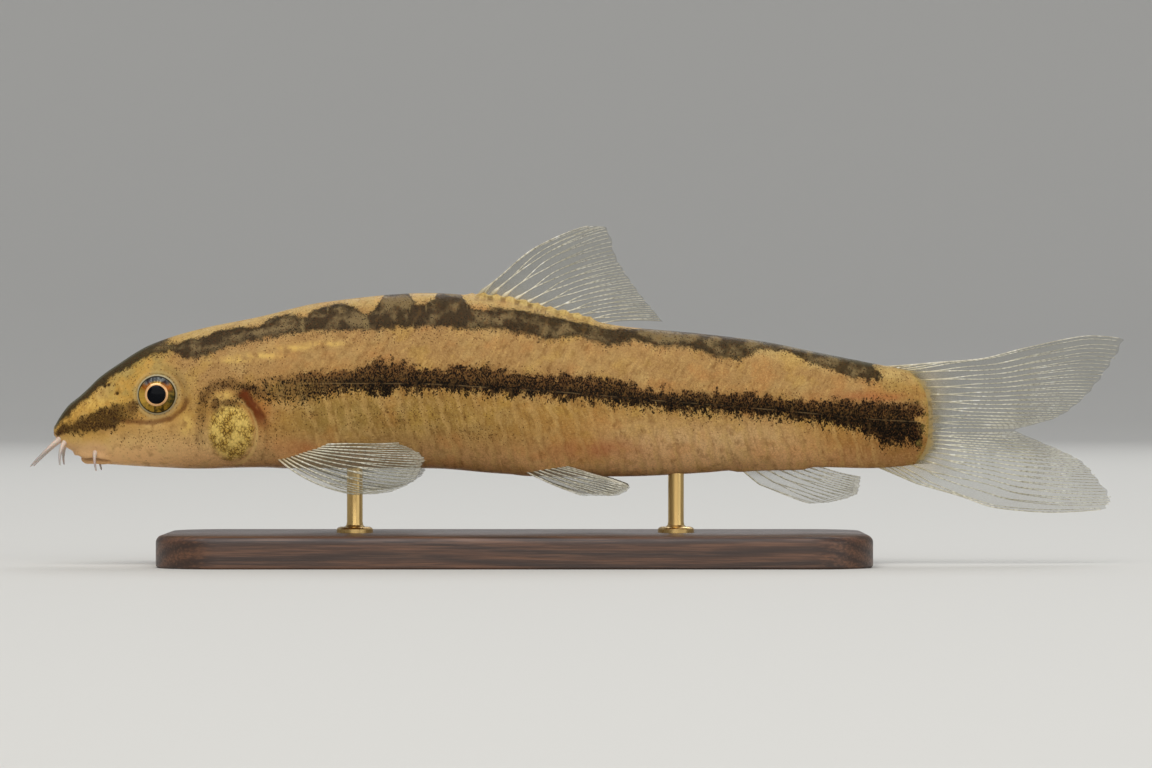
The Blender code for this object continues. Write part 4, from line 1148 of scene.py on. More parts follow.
def gill_cover_colour(wiring, colour):
    """A golden plate with a fine dark net and a pale rim."""
    net = wiring.cell_edges(wiring.stretched(4000, 4000, 2600), 1.5)
    plate = wiring.mix(("mottle", 0.35, 0.65), tint(190, 156, 78), tint(240, 212, 132))
    plate = wiring.tone(plate, 0.9, tint(74, 48, 18), (net, 0.19, 0.04), ("mottle", 0.66, 0.4, 0.2, 1.0))
    ragged = wiring.plus("cover", wiring.times("mottle", 0.35))
    rim = wiring.sum("ABSOLUTE", wiring.plus("cover", -1.12))
    return wiring.paint(
        colour,
        (0.9, plate, (ragged, 1.3, 0.95)),
        (0.6, tint(222, 190, 134), (rim, 0.09, 0.02), ("along", 16.5, 17.8)),
    )


def dark_marks(wiring, colour, colours):
    """The ragged stripes and blotches, each a brown wash under blackish grains that thin out at its edges,
    and painted shade along the cheek groove.
    """
    comb = wiring.plus(wiring.noise(wiring.stretched(4200, 4200, 2000), 2.0), -0.5)
    comb = wiring.mask(("lateral_line", 0.3, -0.4, 0.8, 1.7), comb)
    side = wiring.plus(wiring.plus("side_stripe", wiring.times("uneven", 2.4)), comb)
    tail_end = wiring.sum("SUBTRACT", wiring.times("uneven", 3.2), wiring.plus("past_tail", 0.45))
    notch = wiring.mask(("along", 60.0, 70.0, 0.0, 0.9), "gold_spot")
    side = wiring.sum("SUBTRACT", wiring.sum("MINIMUM", side, tail_end), notch)
    rear = wiring.band("along", 46.0, 64.0, 0.32, 0.75)
    depth = wiring.sum("MAXIMUM", wiring.band("lateral_line", 1.3, 0.0), rear)
    front = ("along", 21.0, 30.0, 0.48, 1.0)

    snout = wiring.plus("snout_stripe", wiring.times("uneven", 2.4))
    near_eye = ("along", 8.2, 5.6, 0.35, 1.0)
    # Painted shade: a dark arch along the cheek groove, above the gill cover; the dark spots it joins are the
    # skin's own
    arch_shade = wiring.mask(("cheek_arch", 1.1, 0.15), ("level", 0.3, 0.56, 0.62, 1.0), strength=0.78)
    spot = wiring.sum("MAXIMUM", "dark_spot", arch_shade)
    spot = wiring.sum("SUBTRACT", spot, wiring.times("gold_spot", 0.6))
    dark = wiring.plus(spot, wiring.times("uneven", 1.2))

    back = wiring.plus("back_stripe", wiring.mask(("along", 71.0, 76.5, 1.6, 3.6), "uneven"))
    blotch = wiring.noise(wiring.stretched(480, 480, 380))
    shade = wiring.mix((blotch, 0.45, 0.6), colours.saddle, colours.saddle_light)
    shade = wiring.tone(shade, 0.65, tint(24, 19, 14), (back, 0.9, 0.15))
    shade = wiring.mix(("along", 10.5, 8.0), shade, colours.crown)
    gap = (("back_gap", 1.1, 0.5), ("fine", 0.35, 0.5, 0.4, 1.0))

    clump = (wiring.noise(wiring.stretched(800, 800, 800), 2.0), 0.35, 0.6, 0.8, 1.0)
    share = wiring.mask((side, -0.55, 0.02), clump, front)
    for other in (
        wiring.mask((snout, -0.5, 0.5), near_eye, strength=0.75),
        wiring.mask((dark, 0.1, 0.9), (spot, 0.1, 0.4), strength=0.6),
        wiring.mask((back, -0.6, 0.05), (back, 1.1, 0.3, 0.18, 0.42)),
    ):
        share = wiring.sum("MAXIMUM", share, other)
    size = wiring.band(side, -0.5, 0.3, 0.72, 1.0)
    place = wiring.stretched(10000, 10000, 6000)
    grains = wiring.group(speckle_group(), Vector=place, Share=share, Size=size)
    black = wiring.mix(("along", 12.0, 19.0), tint(54, 36, 22), colours.stripe)
    black = wiring.mix(("lateral_line", 2.4, 3.6), black, tint(44, 35, 26))
    flecks = (("fine", 0.57, 0.66), ("lateral_line", -0.6, 0.6, 0.35, 1.0))
    return wiring.paint(
        colour,
        (0.72, tint(92, 56, 30), (side, -0.6, 0.1), ("lateral_line", -0.4, 0.9)),
        (0.96, colours.wash, (side, -0.1, 0.5), depth, front),
        (0.9, tint(64, 45, 24), (snout, -0.3, 0.4), near_eye),
        (0.72, tint(76, 48, 28), (dark, 0.15, 1.0)),
        (0.93, shade, (back, -0.25, 0.3)),
        (0.65, tint(140, 122, 90), *gap, (back, -0.2, 0.3)),
        (0.95, black, grains["Mask"]),
        (0.6, tint(132, 94, 54), (side, 0.1, 0.5), *flecks),
        (0.6, tint(150, 114, 60), (snout, 0.1, 0.5), ("fine", 0.58, 0.66)),
    )


def freckles(wiring, colour, colours):
    """Fine brown dots, thickest behind the eye, round the gill opening and beside the stripes."""
    share = wiring.times("freckle_spot", 0.64)
    for other in (
        wiring.band("side_stripe", -1.3, -0.2, 0.0, 0.35),
        wiring.band("back_stripe", -1.1, -0.1, 0.0, 0.4),
        wiring.mask(("along", 14.0, 10.0), ("level", 0.2, 0.5), strength=0.16),
    ):
        share = wiring.sum("MAXIMUM", share, other)
    share = wiring.mask(("soft", 0.35, 0.6, 0.55, 1.0), share)
    dots = wiring.group(speckle_group(), Vector=wiring.stretched(7600, 7600, 6600), Share=share, Size=0.58)
    return wiring.tone(colour, 0.78, colours.freckle, dots["Mask"])


def skin_colour(wiring, colours):
    colour = ground_colour(wiring, colours)
    colour = wiring.tone(colour, 0.6, tint(208, 168, 138), "lip")
    colour = gill_cover_colour(wiring, colour)
    groove = wiring.plus("eye_groove", wiring.times("mottle", 0.4))
    colour = wiring.paint(
        colour,
        (0.7, tint(98, 56, 34), (groove, 0.6, 0.22)),
        (0.25, tint(206, 192, 160), ("from_eye", 2.35, 2.05)),
    )
    colour = dark_marks(wiring, colour, colours)
    slit = wiring.plus("gill_slit", wiring.times("mottle", 0.9))
    fading = ("lateral_line", -4.2, -2.6, 0.4, 1.0)
    colour = wiring.tone(colour, 0.95, colours.blood, (slit, 1.15, 0.6), fading)
    colour = freckles(wiring, colour, colours)

    # Lateral line, pale bands across the stripe, painted sheen on the back's edge, tail's end, painted shade
    # in mouth and nostril pits
    line = (wiring.sum("ABSOLUTE", "lateral_line"), 0.075, 0.02)
    broken = (wiring.noise(wiring.stretched(500, 500, 500)), 0.42, 0.6)
    # The head and the rear, where a blue grey sheen is painted along the top edge of the back
    ends = wiring.sum("MAXIMUM", wiring.band("along", 11.0, 8.0), wiring.band("along", 62.0, 72.0, 0.0, 0.45))
    tail_end = wiring.plus("past_tail", wiring.times("uneven", 3.4))
    # Painted shade: dark brown in the mouth's cleft and in the nostril pits, where shadow falls
    pit_shade = wiring.sum("MAXIMUM", wiring.times("mouth", 0.5), wiring.band("nostrils", 0.24, 0.1))
    colour = wiring.paint(
        colour,
        (0.36, tint(146, 122, 92), line, broken, ("along", 20.0, 26.0)),
        (0.22, tint(140, 106, 68), ("wave", 0.8, 1.3), ("along", 24.0, 30.0)),
        (0.5, colours.rim, ("from_back", 1.1, 0.4), ends),
        (0.62, tint(160, 138, 80), (tail_end, -0.7, 0.35)),
        (0.85, tint(46, 30, 24), pit_shade),
    )
    return wiring.mix(1.0, colour, tint(247, 241, 214), "MULTIPLY")


def skin_material(colours, sizes):
    made, wiring = new_material("wet_skin")
    skin_patterns(wiring, sizes)
    grain = wiring.group(grain_group(), Vector=wiring.place(), Fineness=2600.0)
    height = wiring.sum("SUBTRACT", wiring.times(grain["Height"], 1.2), wiring.times("scales", 0.3))
    height = wiring.plus(height, wiring.times("wave", 0.15))
    values = {
        "Base Color": skin_colour(wiring, colours),
        "Roughness": wiring.band(grain["Mask"], 0.0, 1.0, 0.26, 0.42),
        "Normal": wiring.bump(height, 0.5, 0.00009),
        "Specular IOR Level": 0.04,
        "Coat Weight": 0.015,
        "Coat Roughness": 0.12,
        "Subsurface Weight": 0.03,
        "Subsurface Radius": (0.6, 0.4, 0.25),
        "Subsurface Scale": 0.0003,
    }
    return finish_material(made, wiring, values)


class LOACH_OT_skin(bpy.types.Operator):
    """Makes one skin over the head, jaw, trunk, tail and gill covers"""

    bl_idname = "loach.skin"
    bl_label = "Skin"

    def execute(self, context):
        sizes = context.scene.loach_sizes
        smooth = body_grid(skin_rings())
        grid = smooth + relief(smooth, sizes)[..., None] * grid_normals(smooth)
        set_eye_sockets(grid, sizes)
        finish = skin_material(context.scene.loach_colours, sizes)
        skin = new_mesh_object("skin", placed(grid), body_faces(len(grid)), finish)
        mark_skin(skin.data, smooth)
        flesh = ("head", "lower_jaw", "trunk", "tail_stalk", "gill_cover_left", "gill_cover_right")
        finish_piece(skin, "skin", *flesh)
        return {"FINISHED"}


def sleeve_material(colours):
    made, wiring = new_material("tail_sleeve")
    streaks = wiring.noise(wiring.stretched(260, 1800, 1800))
    worn = wiring.plus("past_tail", wiring.times(wiring.plus(streaks, -0.5), 2.6))
    colour = wiring.mix((worn, -0.1, 1.1), tint(172, 146, 88), colours.web)
    values = {
        "Base Color": wiring.tone(colour, 0.45, tint(112, 88, 50), (streaks, 0.46, 0.6)),
        "Alpha": wiring.band(worn, 0.0, 1.7, 0.7, 0.0),
        "Roughness": 0.35,
        "Coat Weight": 0.1,
    }
    return finish_material(made, wiring, values)


class LOACH_OT_tail_sleeve(bpy.types.Operator):
    """Makes the clear sleeve in which the tail's flesh thins out over the rays"""

    bl_idname = "loach.tail_sleeve"
    bl_label = "Tail sleeve"

    def execute(self, context):
        grid = body_grid(sleeve_rings())
        finish = sleeve_material(context.scene.loach_colours)
        sleeve = new_mesh_object("tail_sleeve", placed(grid), body_faces(len(grid)), finish)
        add_value(sleeve.data, "past_tail", grid[..., 0] - tail_line(grid[..., 2]))
        finish_piece(sleeve, "fin", "caudal_upper_lobe", "caudal_lower_lobe")
        return {"FINISHED"}


def eye_material(colours):
    made, wiring = new_material("fish_eye")
    spin = wiring.vector(wiring.times("across", 5.0), wiring.times("up", 5.0), wiring.times("from_axis", 1.8))
    streaks = wiring.noise(spin, 3.0, 0.6)
    iris = wiring.mix((streaks, 0.38, 0.6), tint(70, 56, 20), colours.iris)
    # Painted reflection: a grey blue crescent, the reflection of the light above, across the top of the iris
    reflection_crescent = wiring.mix((streaks, 0.4, 0.62), tint(28, 36, 44), tint(92, 104, 108))
    beside = (wiring.sum("ABSOLUTE", "across"), 0.3, 0.6)
    colour = wiring.paint(
        iris,
        (0.6, tint(182, 96, 34), beside, ("up", 0.05, 0.5), ("from_axis", 1.7, 1.4)),
        (0.6, tint(206, 164, 70), ("across", -0.45, -0.9), ("up", 0.5, 0.2)),
        (0.55, tint(54, 56, 26), ("across", 0.5, 0.9), ("up", 0.5, 0.1)),
        (0.9, reflection_crescent, ("up", 0.5, 0.8), ("from_axis", 1.12, 1.36)),
        (1.0, tint(40, 34, 22), ("from_axis", 1.6, 1.68)),
        (1.0, tint(178, 166, 132), ("from_axis", 1.71, 1.77)),
        (1.0, tint(52, 42, 32), ("from_axis", 1.88, 1.92)),
        (1.0, tint(232, 180, 124), ("from_axis", 1.1, 1.05)),
        (1.0, tint(2, 4, 9), ("from_axis", 0.9, 0.86)),
    )
    values = {
        "Base Color": colour,
        "Metallic": wiring.mask(("from_axis", 0.92, 1.0), ("from_axis", 1.65, 1.5), strength=0.4),
        "Roughness": 0.22,
        "Specular IOR Level": 0.05,
        "Coat Weight": 0.08,
        "Coat Roughness": 0.02,
    }
    return finish_material(made, wiring, values)


class LOACH_OT_eyes(bpy.types.Operator):
    """Makes the two eyeballs with lens, gold ring and iris"""

    bl_idname = "loach.eyes"
    bl_label = "Eyes"

    def execute(self, context):
        finish = eye_material(context.scene.loach_colours)
        turn = 2 * math.pi * np.arange(EYE_SEGMENTS) / EYE_SEGMENTS
        polar = math.pi * np.arange(1, EYE_RINGS) / EYE_RINGS
        radius = EYE_RADIUS * np.sin(polar)
        lens = LENS_HEIGHT * ease(radius, PUPIL_RADIUS + LENS_EDGE, PUPIL_RADIUS - LENS_EDGE)
        lens -= IRIS_DIP * bell(radius - IRIS_DIP_RADIUS, IRIS_DIP_WIDTH)
        outward = EYE_HALF_THICKNESS * np.cos(polar) + np.where(polar < math.pi / 2, lens, 0)
        along = EYE_ALONG + radius[:, None] * np.cos(turn)
        height = EYE_HEIGHT + radius[:, None] * np.sin(turn)
        values = {
            "from_axis": np.repeat(radius, EYE_SEGMENTS),
            "across": np.tile(np.cos(turn), EYE_RINGS - 1),
            "up": np.tile(np.sin(turn), EYE_RINGS - 1),
        }
        faces = ring_faces(EYE_RINGS - 1, EYE_SEGMENTS)
        pole = (EYE_RINGS - 1) * EYE_SEGMENTS
        last = pole - EYE_SEGMENTS
        for segment in range(EYE_SEGMENTS):
            after = (segment + 1) % EYE_SEGMENTS
            faces += [(pole, after, segment), (pole + 1, last + segment, last + after)]
        middle = eye_centre_out()
        for word, side in SIDES.items():
            out = side * (middle + np.repeat(outward, EYE_SEGMENTS))
            points = np.stack([along.ravel(), out, height.ravel()], axis=1)
            reaches = (middle + EYE_HALF_THICKNESS + LENS_HEIGHT, middle - EYE_HALF_THICKNESS)
            poles = [(EYE_ALONG, side * reach, EYE_HEIGHT) for reach in reaches]
            eye = new_mesh_object(f"eyeball_{word}", placed(np.vstack([points, poles])), faces, finish)
            for name, value in values.items():
                add_value(eye.data, name, np.append(value, (0, 0)))
            finish_piece(eye, "eye", f"eye_{word}")
        return {"FINISHED"}


def bend_through(start, middle, end):
    """A curve from start to end that is pulled towards the middle."""
    start, middle, end = Vector(start), Vector(middle), Vector(end)
    return lambda share: (1 - share) ** 2 * start + 2 * share * (1 - share) * middle + share * share * end


def barbel_material(colours):
    made, wiring = new_material("barbel_flesh")
    grain = wiring.group(grain_group(), Vector=wiring.place(), Fineness=2200.0)
    colour = wiring.mix(("share_out", 0.1, 0.8), colours.barbel, tint(176, 166, 158))
    colour = wiring.paint(
        colour,
        (0.7, colours.throat, ("share_out", 0.12, 0.0)),
        (0.25, tint(150, 112, 88), grain["Mask"]),
    )
    values = {
        "Base Color": colour,
        "Normal": wiring.bump(grain["Height"], 0.3, 0.00004),
        "Alpha": wiring.band("share_out", 0.3, 1.0, 1.0, 0.7),
        "Roughness": 0.35,
        "Coat Weight": 0.3,
        "Coat Roughness": 0.15,
        "Subsurface Weight": 0.2,
        "Subsurface Scale": 0.0004,
    }
    return finish_material(made, wiring, values)


def barbel_points(path, radius):
    """Points of a tapering tube round a path, and the share of the path at which each lies."""
    points, shares = [], []
    for ring in range(BARBEL_RINGS):
        share = ring / (BARBEL_RINGS - 1)
        centre = path(share)
        ahead = (path(min(1.0, share + BARBEL_STEP)) - path(max(0.0, share - BARBEL_STEP))).normalized()
        across = ahead.cross(Vector(NO_BARBELS_WAY)).normalized()
        up = ahead.cross(across)
        size = radius + (BARBEL_TIP_RADIUS - radius) * share**BARBEL_THINNING
        size *= 1 + BARBEL_FLARE * math.exp(-share / BARBEL_FLARE_REACH)
        size *= math.sqrt(max(0.0, 1 - max(0.0, (share - BARBEL_TIP_START) / BARBEL_TIP_LENGTH) ** 2))
        for step in range(BARBEL_SIDES):
            turn = 2 * math.pi * step / BARBEL_SIDES
            points.append(centre + size * (math.cos(turn) * across + math.sin(turn) * up))
            shares.append(share)
    return points, shares


class LOACH_OT_barbels(bpy.types.Operator):
    """Makes the three pairs of barbels, each flaring into the skin at its root"""

    bl_idname = "loach.barbels"
    bl_label = "Barbels"

    def execute(self, context):
        finish = barbel_material(context.scene.loach_colours)
        faces = tube_faces(BARBEL_RINGS, BARBEL_SIDES)
        for stem, along, height, tip, radius in BARBELS:
            for word, side in SIDES.items():
                spot, normal = skin_frame(along, height, side)
                end = Vector((tip[0], side * tip[1], tip[2]))
                bend = spot + BARBEL_LIFT * (end - spot).length * normal
                points, shares = barbel_points(bend_through(spot - BARBEL_SUNK * normal, bend, end), radius)
                barbel = new_mesh_object(f"{stem}_{word}_flesh", placed(points), faces, finish)
                add_value(barbel.data, "share_out", shares)
                finish_piece(barbel, "barbel", f"{stem}_{word}")
        return {"FINISHED"}


def curve_through(rows):
    """A smooth curve through places, given with the share at which each is reached."""
    through = smooth_through(rows)
    return lambda share: Vector(through(share))


def back_of(along):
    return float(section_at(along)[0])


def belly_of(along):
    return float(section_at(along)[1])


class FinShape:
    """A fin as a surface: share runs from its front ray to its last, and reach from its root to its tips.

    Split is where each ray branches once and again. Foremost is the share of the outline at which the fin's
    foremost tip lies; the outline before it is the front edge, which the front ray follows. Short is the
    number of short rays before the front ray, knob is how much the rays swell above the root, and seam is the
    height at which the web meets that of the other lobe.
    """

    def __init__(self, root, outline, bow, rays, split, foremost=0.0, short=0, knob=0.0, seam=None):
        self.rays, self.split, self.short, self.knob, self.seam = rays, split, short, knob, seam
        self.shares = np.linspace(0, 1, FIN_LINES)
        start, bows = (np.array([tuple(line(share)) for share in self.shares]) for line in (root, bow))
        end = np.array([tuple(outline(foremost + (1 - foremost) * share)) for share in self.shares])
        length = np.linalg.norm(end - start, axis=1)
        middle = (start + end) / 2 + 2 * ((length / length.max()) ** 2)[:, None] * bows
        self.knots = (start, middle, end)
        self.reaches, self.shifts = np.array([0.0, 1.0]), np.zeros((2, 3))
        if foremost:
            steps = range(FRONT_EDGE_STEPS + 1)
            edge = [tuple(start[0])] + [tuple(outline(foremost * step / FRONT_EDGE_STEPS)) for step in steps]
            walked = np.append(0, np.cumsum(np.linalg.norm(np.diff(edge, axis=0), axis=1)))
            reaches = walked / walked[-1]
            self.shifts = edge - self.points(0.0, reaches)
            self.reaches = reaches

    def points(self, share, reach):
        share, reach = np.broadcast_arrays(np.clip(share, 0, 1), np.asarray(reach, float))
        start, middle, end = (
            np.stack([np.interp(share, self.shares, knot[:, axis]) for axis in range(3)], axis=-1)
            for knot in self.knots
        )
        shift = np.stack([np.interp(reach, self.reaches, self.shifts[:, axis]) for axis in range(3)], axis=-1)
        out, front = reach[..., None], (1 - share[..., None]) ** 3
        return (1 - out) ** 2 * start + 2 * out * (1 - out) * middle + out**2 * end + front * shift

    def normals(self, share, reach):
        step = 0.01
        further, nearer = np.minimum(reach + step, 1), np.maximum(reach - step, 0)
        across = self.points(share + step, reach) - self.points(share - step, reach)
        outward = self.points(share, further) - self.points(share, nearer)
        normal = np.cross(across, outward)
        return normal / np.maximum(np.linalg.norm(normal, axis=-1, keepdims=True), 1e-9)


def lobe_root(lobe):
    """The root line of one lobe: along the tail's edge, round its corner and down its end to the fork."""
    edge = back_of if lobe > 0 else belly_of
    corner = STANDARD_LENGTH - TAIL_CORNER - FIN_ROOT_DEPTH
    corner_height = edge(corner) - lobe * FIN_ROOT_DEPTH

    def root(share):
        if share < LOBE_ROOT_TURN:
            along = LOBE_ROOT_START + share / LOBE_ROOT_TURN * (corner - LOBE_ROOT_START)
            return along, 0.0, edge(along) - lobe * FIN_ROOT_DEPTH
        down = (share - LOBE_ROOT_TURN) / (1 - LOBE_ROOT_TURN)
        height = corner_height + down * (FORK_HEIGHT + lobe * LOBE_SPACE - corner_height)
        return float(tail_line(height)) - FIN_ROOT_DEPTH, 0.0, height

    return root


def back_root(span, edge, depth):
    """The root line of a fin that stands on the back or under the belly."""

    def root(share):
        along = span[0] + share * (span[1] - span[0])
        return along, 0.0, edge(along) + depth

    return root


def lobe_shape(lobe, tips):
    """One lobe of the tail fin: 1 is the upper one and -1 the lower one."""

    def bow(share):
        return 0.0, 0.0, -lobe * LOBE_BOW * (1 - share)

    return FinShape(lobe_root(lobe), curve_through(tips), bow, seam=FORK_HEIGHT, **LOBE_BUILD)


def paired_shape(roots, tips, bows, rays, side):
    """One fin of a pair, on this side."""

    def root(share):
        along, height = (first + share * (last - first) for first, last in zip(*roots))
        spot, normal = skin_frame(along, height, side)
        return spot - PAIRED_ROOT_DEPTH * normal

    line = smooth_through(tips)

    def tip(share):
        along, out, height = line(share)
        return along, side * out, height

    def bow(share):
        along, out, height = (first + share * (last - first) for first, last in zip(*bows))
        return along, side * out, height

    return FinShape(root, tip, bow, rays, PAIRED_SPLIT)


def fin_shapes():
    """Every fin by the name of its solid."""
    dorsal = back_root(DORSAL_ROOT, back_of, -FIN_ROOT_DEPTH)
    anal = back_root(ANAL_ROOT, belly_of, FIN_ROOT_DEPTH)
    shapes = {
        "dorsal_fin": FinShape(dorsal, curve_through(DORSAL_TIPS), lambda share: DORSAL_BOW, **DORSAL_BUILD),
        "anal_fin": FinShape(anal, curve_through(ANAL_TIPS), lambda share: ANAL_BOW, **ANAL_BUILD),
        "caudal_upper_lobe": lobe_shape(1, UPPER_LOBE_TIPS),
        "caudal_lower_lobe": lobe_shape(-1, LOWER_LOBE_TIPS),
    }
    for word, side in SIDES.items():
        for stem, build in PAIRED_FINS.items():
            shapes[f"{stem}_{word}"] = paired_shape(*build, side)
    return shapes


def web_material(colours):
    made, wiring = new_material("fin_web")
    grain = wiring.group(grain_group(), Vector=wiring.place(), Fineness=1800.0)
    colour = wiring.mix(("reach", 0.25, 0.0), colours.web, tint(176, 156, 112))
    values = {
        "Base Color": wiring.tone(colour, 0.35, tint(84, 82, 66), grain["Mask"]),
        "Alpha": wiring.band("reach", 0.0, 0.3, 0.42, 0.2),
        "Normal": wiring.bump(grain["Height"], 0.3, 0.00005),
        "Roughness": 0.25,
        "Coat Weight": 0.15,
    }
    return finish_material(made, wiring, values)


def ray_material(colours):
    """Pale horn, greyer in patches, with faint joints and painted glints on scattered segments."""
    made, wiring = new_material("fin_rays")
    patches = wiring.noise(wiring.stretched(330, 330, 330), 2.0)
    dim = wiring.plus(patches, wiring.times("shade", 0.25))
    colour = wiring.paint(
        wiring.mix(("reach", 0.25, 0.0), colours.ray, tint(204, 186, 142)),
        (0.55, tint(142, 136, 112), (dim, 0.72, 0.5)),
        (0.4, colours.ray_dark, ("joint", 0.4, 0.05), ("reach", 0.15, 0.35)),
        # Painted glints: near white on scattered segments, in patches
        (0.9, tint(246, 244, 232), ("shade", 0.84, 0.9), (patches, 0.42, 0.56)),
    )
    values = {
        "Base Color": colour,
        "Alpha": wiring.band("reach", 0.3, 1.0, 0.95, 0.75),
        "Roughness": 0.3,
        "Coat Weight": 0.2,
    }
    return finish_material(made, wiring, values)


def ray_branches(shape):
    """Every branch of a fin's rays as its two ends (share, reach) and its thickness at each.

    The tips are evenly spread. The front ray keeps to the front edge, and short rays end along it near the
    root.
    """
    spacing = 1 / (shape.rays - 1)
    first, second = shape.split
    branches = [
        ((0.0, 0.0), (0.0, FRONT_RAY_END), FRONT_RAY),
        ((0.0, first), (spacing / 4, FRONT_RAY_END), FRONT_BRANCH),
    ]
    for ray in range(1, shape.short + 1):
        branches.append(((SHORT_RAY_ROOT * ray, 0.0), (0.0, SHORT_RAY_REACH * ray), SHORT_RAY))
    for ray in range(1, shape.rays):
        share = ray * spacing
        branches.append(((share, 0.0), (share, first), RAY_STEM))
        for half in (-1, 1) if ray < shape.rays - 1 else (-1,):
            near = share + half * spacing / 4
            branches.append(((share, first), (near, second), HALF_BRANCH))
            for quarter in (-1, 1):
                branches.append(((near, second), (near + quarter * spacing / 8, RAY_END), QUARTER_BRANCH))
    return branches


def ray_mesh(shape, sizes, seed):
    """Chains of edges along every branch, two to a joint, with what the tubes and their material need."""
    draw = np.random.default_rng(seed)
    columns, edges = [], []
    count = 0
    for (share0, reach0), (share1, reach1), (thick0, thick1) in ray_branches(shape):
        t = np.linspace(0, 1, MEASURED_POINTS)
        measured = shape.points(share0 + (share1 - share0) * t, reach0 + (reach1 - reach0) * t)
        length = float(np.linalg.norm(np.diff(measured, axis=0), axis=1).sum())
        steps = 2 * max(2, round(length / sizes.ray_joint))
        if reach1 > TIP_START:
            reach1 -= float(draw.uniform(0.0, TIP_UNEVENNESS))
        t = np.linspace(0, 1, steps + 1)
        reach = reach0 + (reach1 - reach0) * t
        share = share0 + (share1 - share0) * t * t * (3 - 2 * t)
        joint = np.arange(steps + 1) % 2.0
        taper = (1 - RAY_TAPER * reach) * (thick0 + (thick1 - thick0) * t)
        taper *= 1 - JOINT_WAIST * (1 - joint)
        taper *= 1 + shape.knob * bell(reach - KNOB_REACH, KNOB_WIDTH)
        radius = sizes.ray_radius * MM * np.maximum(RAY_LEAST, taper)
        columns.append(np.stack([share, reach, radius, joint, draw.uniform(0, 1, steps + 1)]))
        edges += [(count + step, count + step + 1) for step in range(steps)]
        count += steps + 1
    share, reach, radius, joint, shade = np.concatenate(columns, axis=1)
    mesh = bpy.data.meshes.new("ray_lines")
    mesh.from_pydata([tuple(point) for point in placed(shape.points(share, reach))], edges, [])
    for name, values in (("ray_radius", radius), ("reach", reach), ("joint", joint), ("shade", shade)):
        add_value(mesh, name, values)
    return mesh


def ray_tree():
    """Geometry nodes that turn each chain of edges into a closed tapering tube."""
    found = bpy.data.node_groups.get("fin_ray_tubes")
    if found:
        return found
    tree = bpy.data.node_groups.new("fin_ray_tubes", "GeometryNodeTree")
    tree.interface.new_socket("Geometry", in_out="INPUT", socket_type="NodeSocketGeometry")
    for name, kind, default in (("Thickness", "NodeSocketFloat", 1.0), ("Sides", "NodeSocketInt", 6)):
        socket = tree.interface.new_socket(name, in_out="INPUT", socket_type=kind)
        socket.default_value = default
    tree.interface.new_socket("Finish", in_out="INPUT", socket_type="NodeSocketMaterial")
    tree.interface.new_socket("Geometry", in_out="OUTPUT", socket_type="NodeSocketGeometry")
    wiring = Wiring(tree)
    given = wiring.node("NodeGroupInput").outputs
    curve = wiring.node("GeometryNodeMeshToCurve", {"Mesh": given["Geometry"]})
    stored = wiring.node("GeometryNodeInputNamedAttribute", {"Name": "ray_radius"}, data_type="FLOAT")
    radius = wiring.times(stored.outputs["Attribute"], given["Thickness"])
    sized = wiring.node("GeometryNodeSetCurveRadius", {"Curve": curve.outputs["Curve"], "Radius": radius})
    ring = wiring.node("GeometryNodeCurvePrimitiveCircle", {"Resolution": given["Sides"], "Radius": 1.0})
    tube = wiring.node(
        "GeometryNodeCurveToMesh",
        {"Curve": sized.outputs["Curve"], "Profile Curve": ring.outputs["Curve"], "Fill Caps": True},
    )
    if "Scale" in tube.inputs:
        wiring.feed(tube.inputs["Scale"], radius)
    smooth = wiring.node("GeometryNodeSetShadeSmooth", {"Geometry": tube.outputs["Mesh"]})
    real = wiring.node("GeometryNodeRealizeInstances", {"Geometry": smooth.outputs["Geometry"]})
    dressed = wiring.node(
        "GeometryNodeSetMaterial", {"Geometry": real.outputs["Geometry"], "Material": given["Finish"]}
    )
    wiring.node("NodeGroupOutput", {"Geometry": dressed.outputs["Geometry"]})
    return tree


def socket_key(tree, name):
    """The identifier of a tree's named input."""
    for item in tree.interface.items_tree:
        if item.item_type == "SOCKET" and item.in_out == "INPUT" and item.name == name:
            return item.identifier
    raise ValueError(f"the tree has no input named {name}")


class LOACH_OT_fin_rays(bpy.types.Operator):
    """Makes the jointed, branching rays of every fin"""

    bl_idname = "loach.fin_rays"
    bl_label = "Fin rays"

    def execute(self, context):
        sizes = context.scene.loach_sizes
        finish = ray_material(context.scene.loach_colours)
        tree = ray_tree()
        for seed, (name, shape) in enumerate(fin_shapes().items()):
            lines = bpy.data.objects.new("ray_lines", ray_mesh(shape, sizes, seed))
            context.scene.collection.objects.link(lines)
            modifier = lines.modifiers.new("tubes", "NODES")
            modifier.node_group = tree
            modifier[socket_key(tree, "Thickness")] = 1.0
            modifier[socket_key(tree, "Sides")] = sizes.ray_sides
            modifier[socket_key(tree, "Finish")] = finish
            graph = context.evaluated_depsgraph_get()
            mesh = bpy.data.meshes.new_from_object(lines.evaluated_get(graph))
            lines.modifiers.remove(modifier)
            bpy.data.objects.remove(lines)
            rays = bpy.data.objects.new(f"{name}_rays", mesh)
            context.scene.collection.objects.link(rays)
            finish_piece(rays, "fin", name)
        return {"FINISHED"}


def web_grid(shape, thickness):
    """Points of both sides of a fin's web, drawn in between its rays' tips, and how far out each lies."""
    column, row = np.meshgrid(np.arange(WEB_COLUMNS), np.arange(WEB_ROWS), indexing="ij")
    share = column / (WEB_COLUMNS - 1)
    scallop = np.sin(math.pi * share * (shape.rays - 1)) ** 2
    reach = row / (WEB_ROWS - 1) * (WEB_END - WEB_SCALLOP * scallop)
    spot, normal = shape.points(share, reach), shape.normals(share, reach)
    if shape.seam is not None:
        spot[..., 2] += (shape.seam - spot[-1:, :, 2]) * share**SEAM_NEARNESS
    half = (thickness / 2 * (WEB_ROOT_SHARE - WEB_THINNING * reach))[..., None]
    points = np.concatenate([(spot + half * normal).reshape(-1, 3), (spot - half * normal).reshape(-1, 3)])
    return points, np.tile(reach.ravel(), 2)


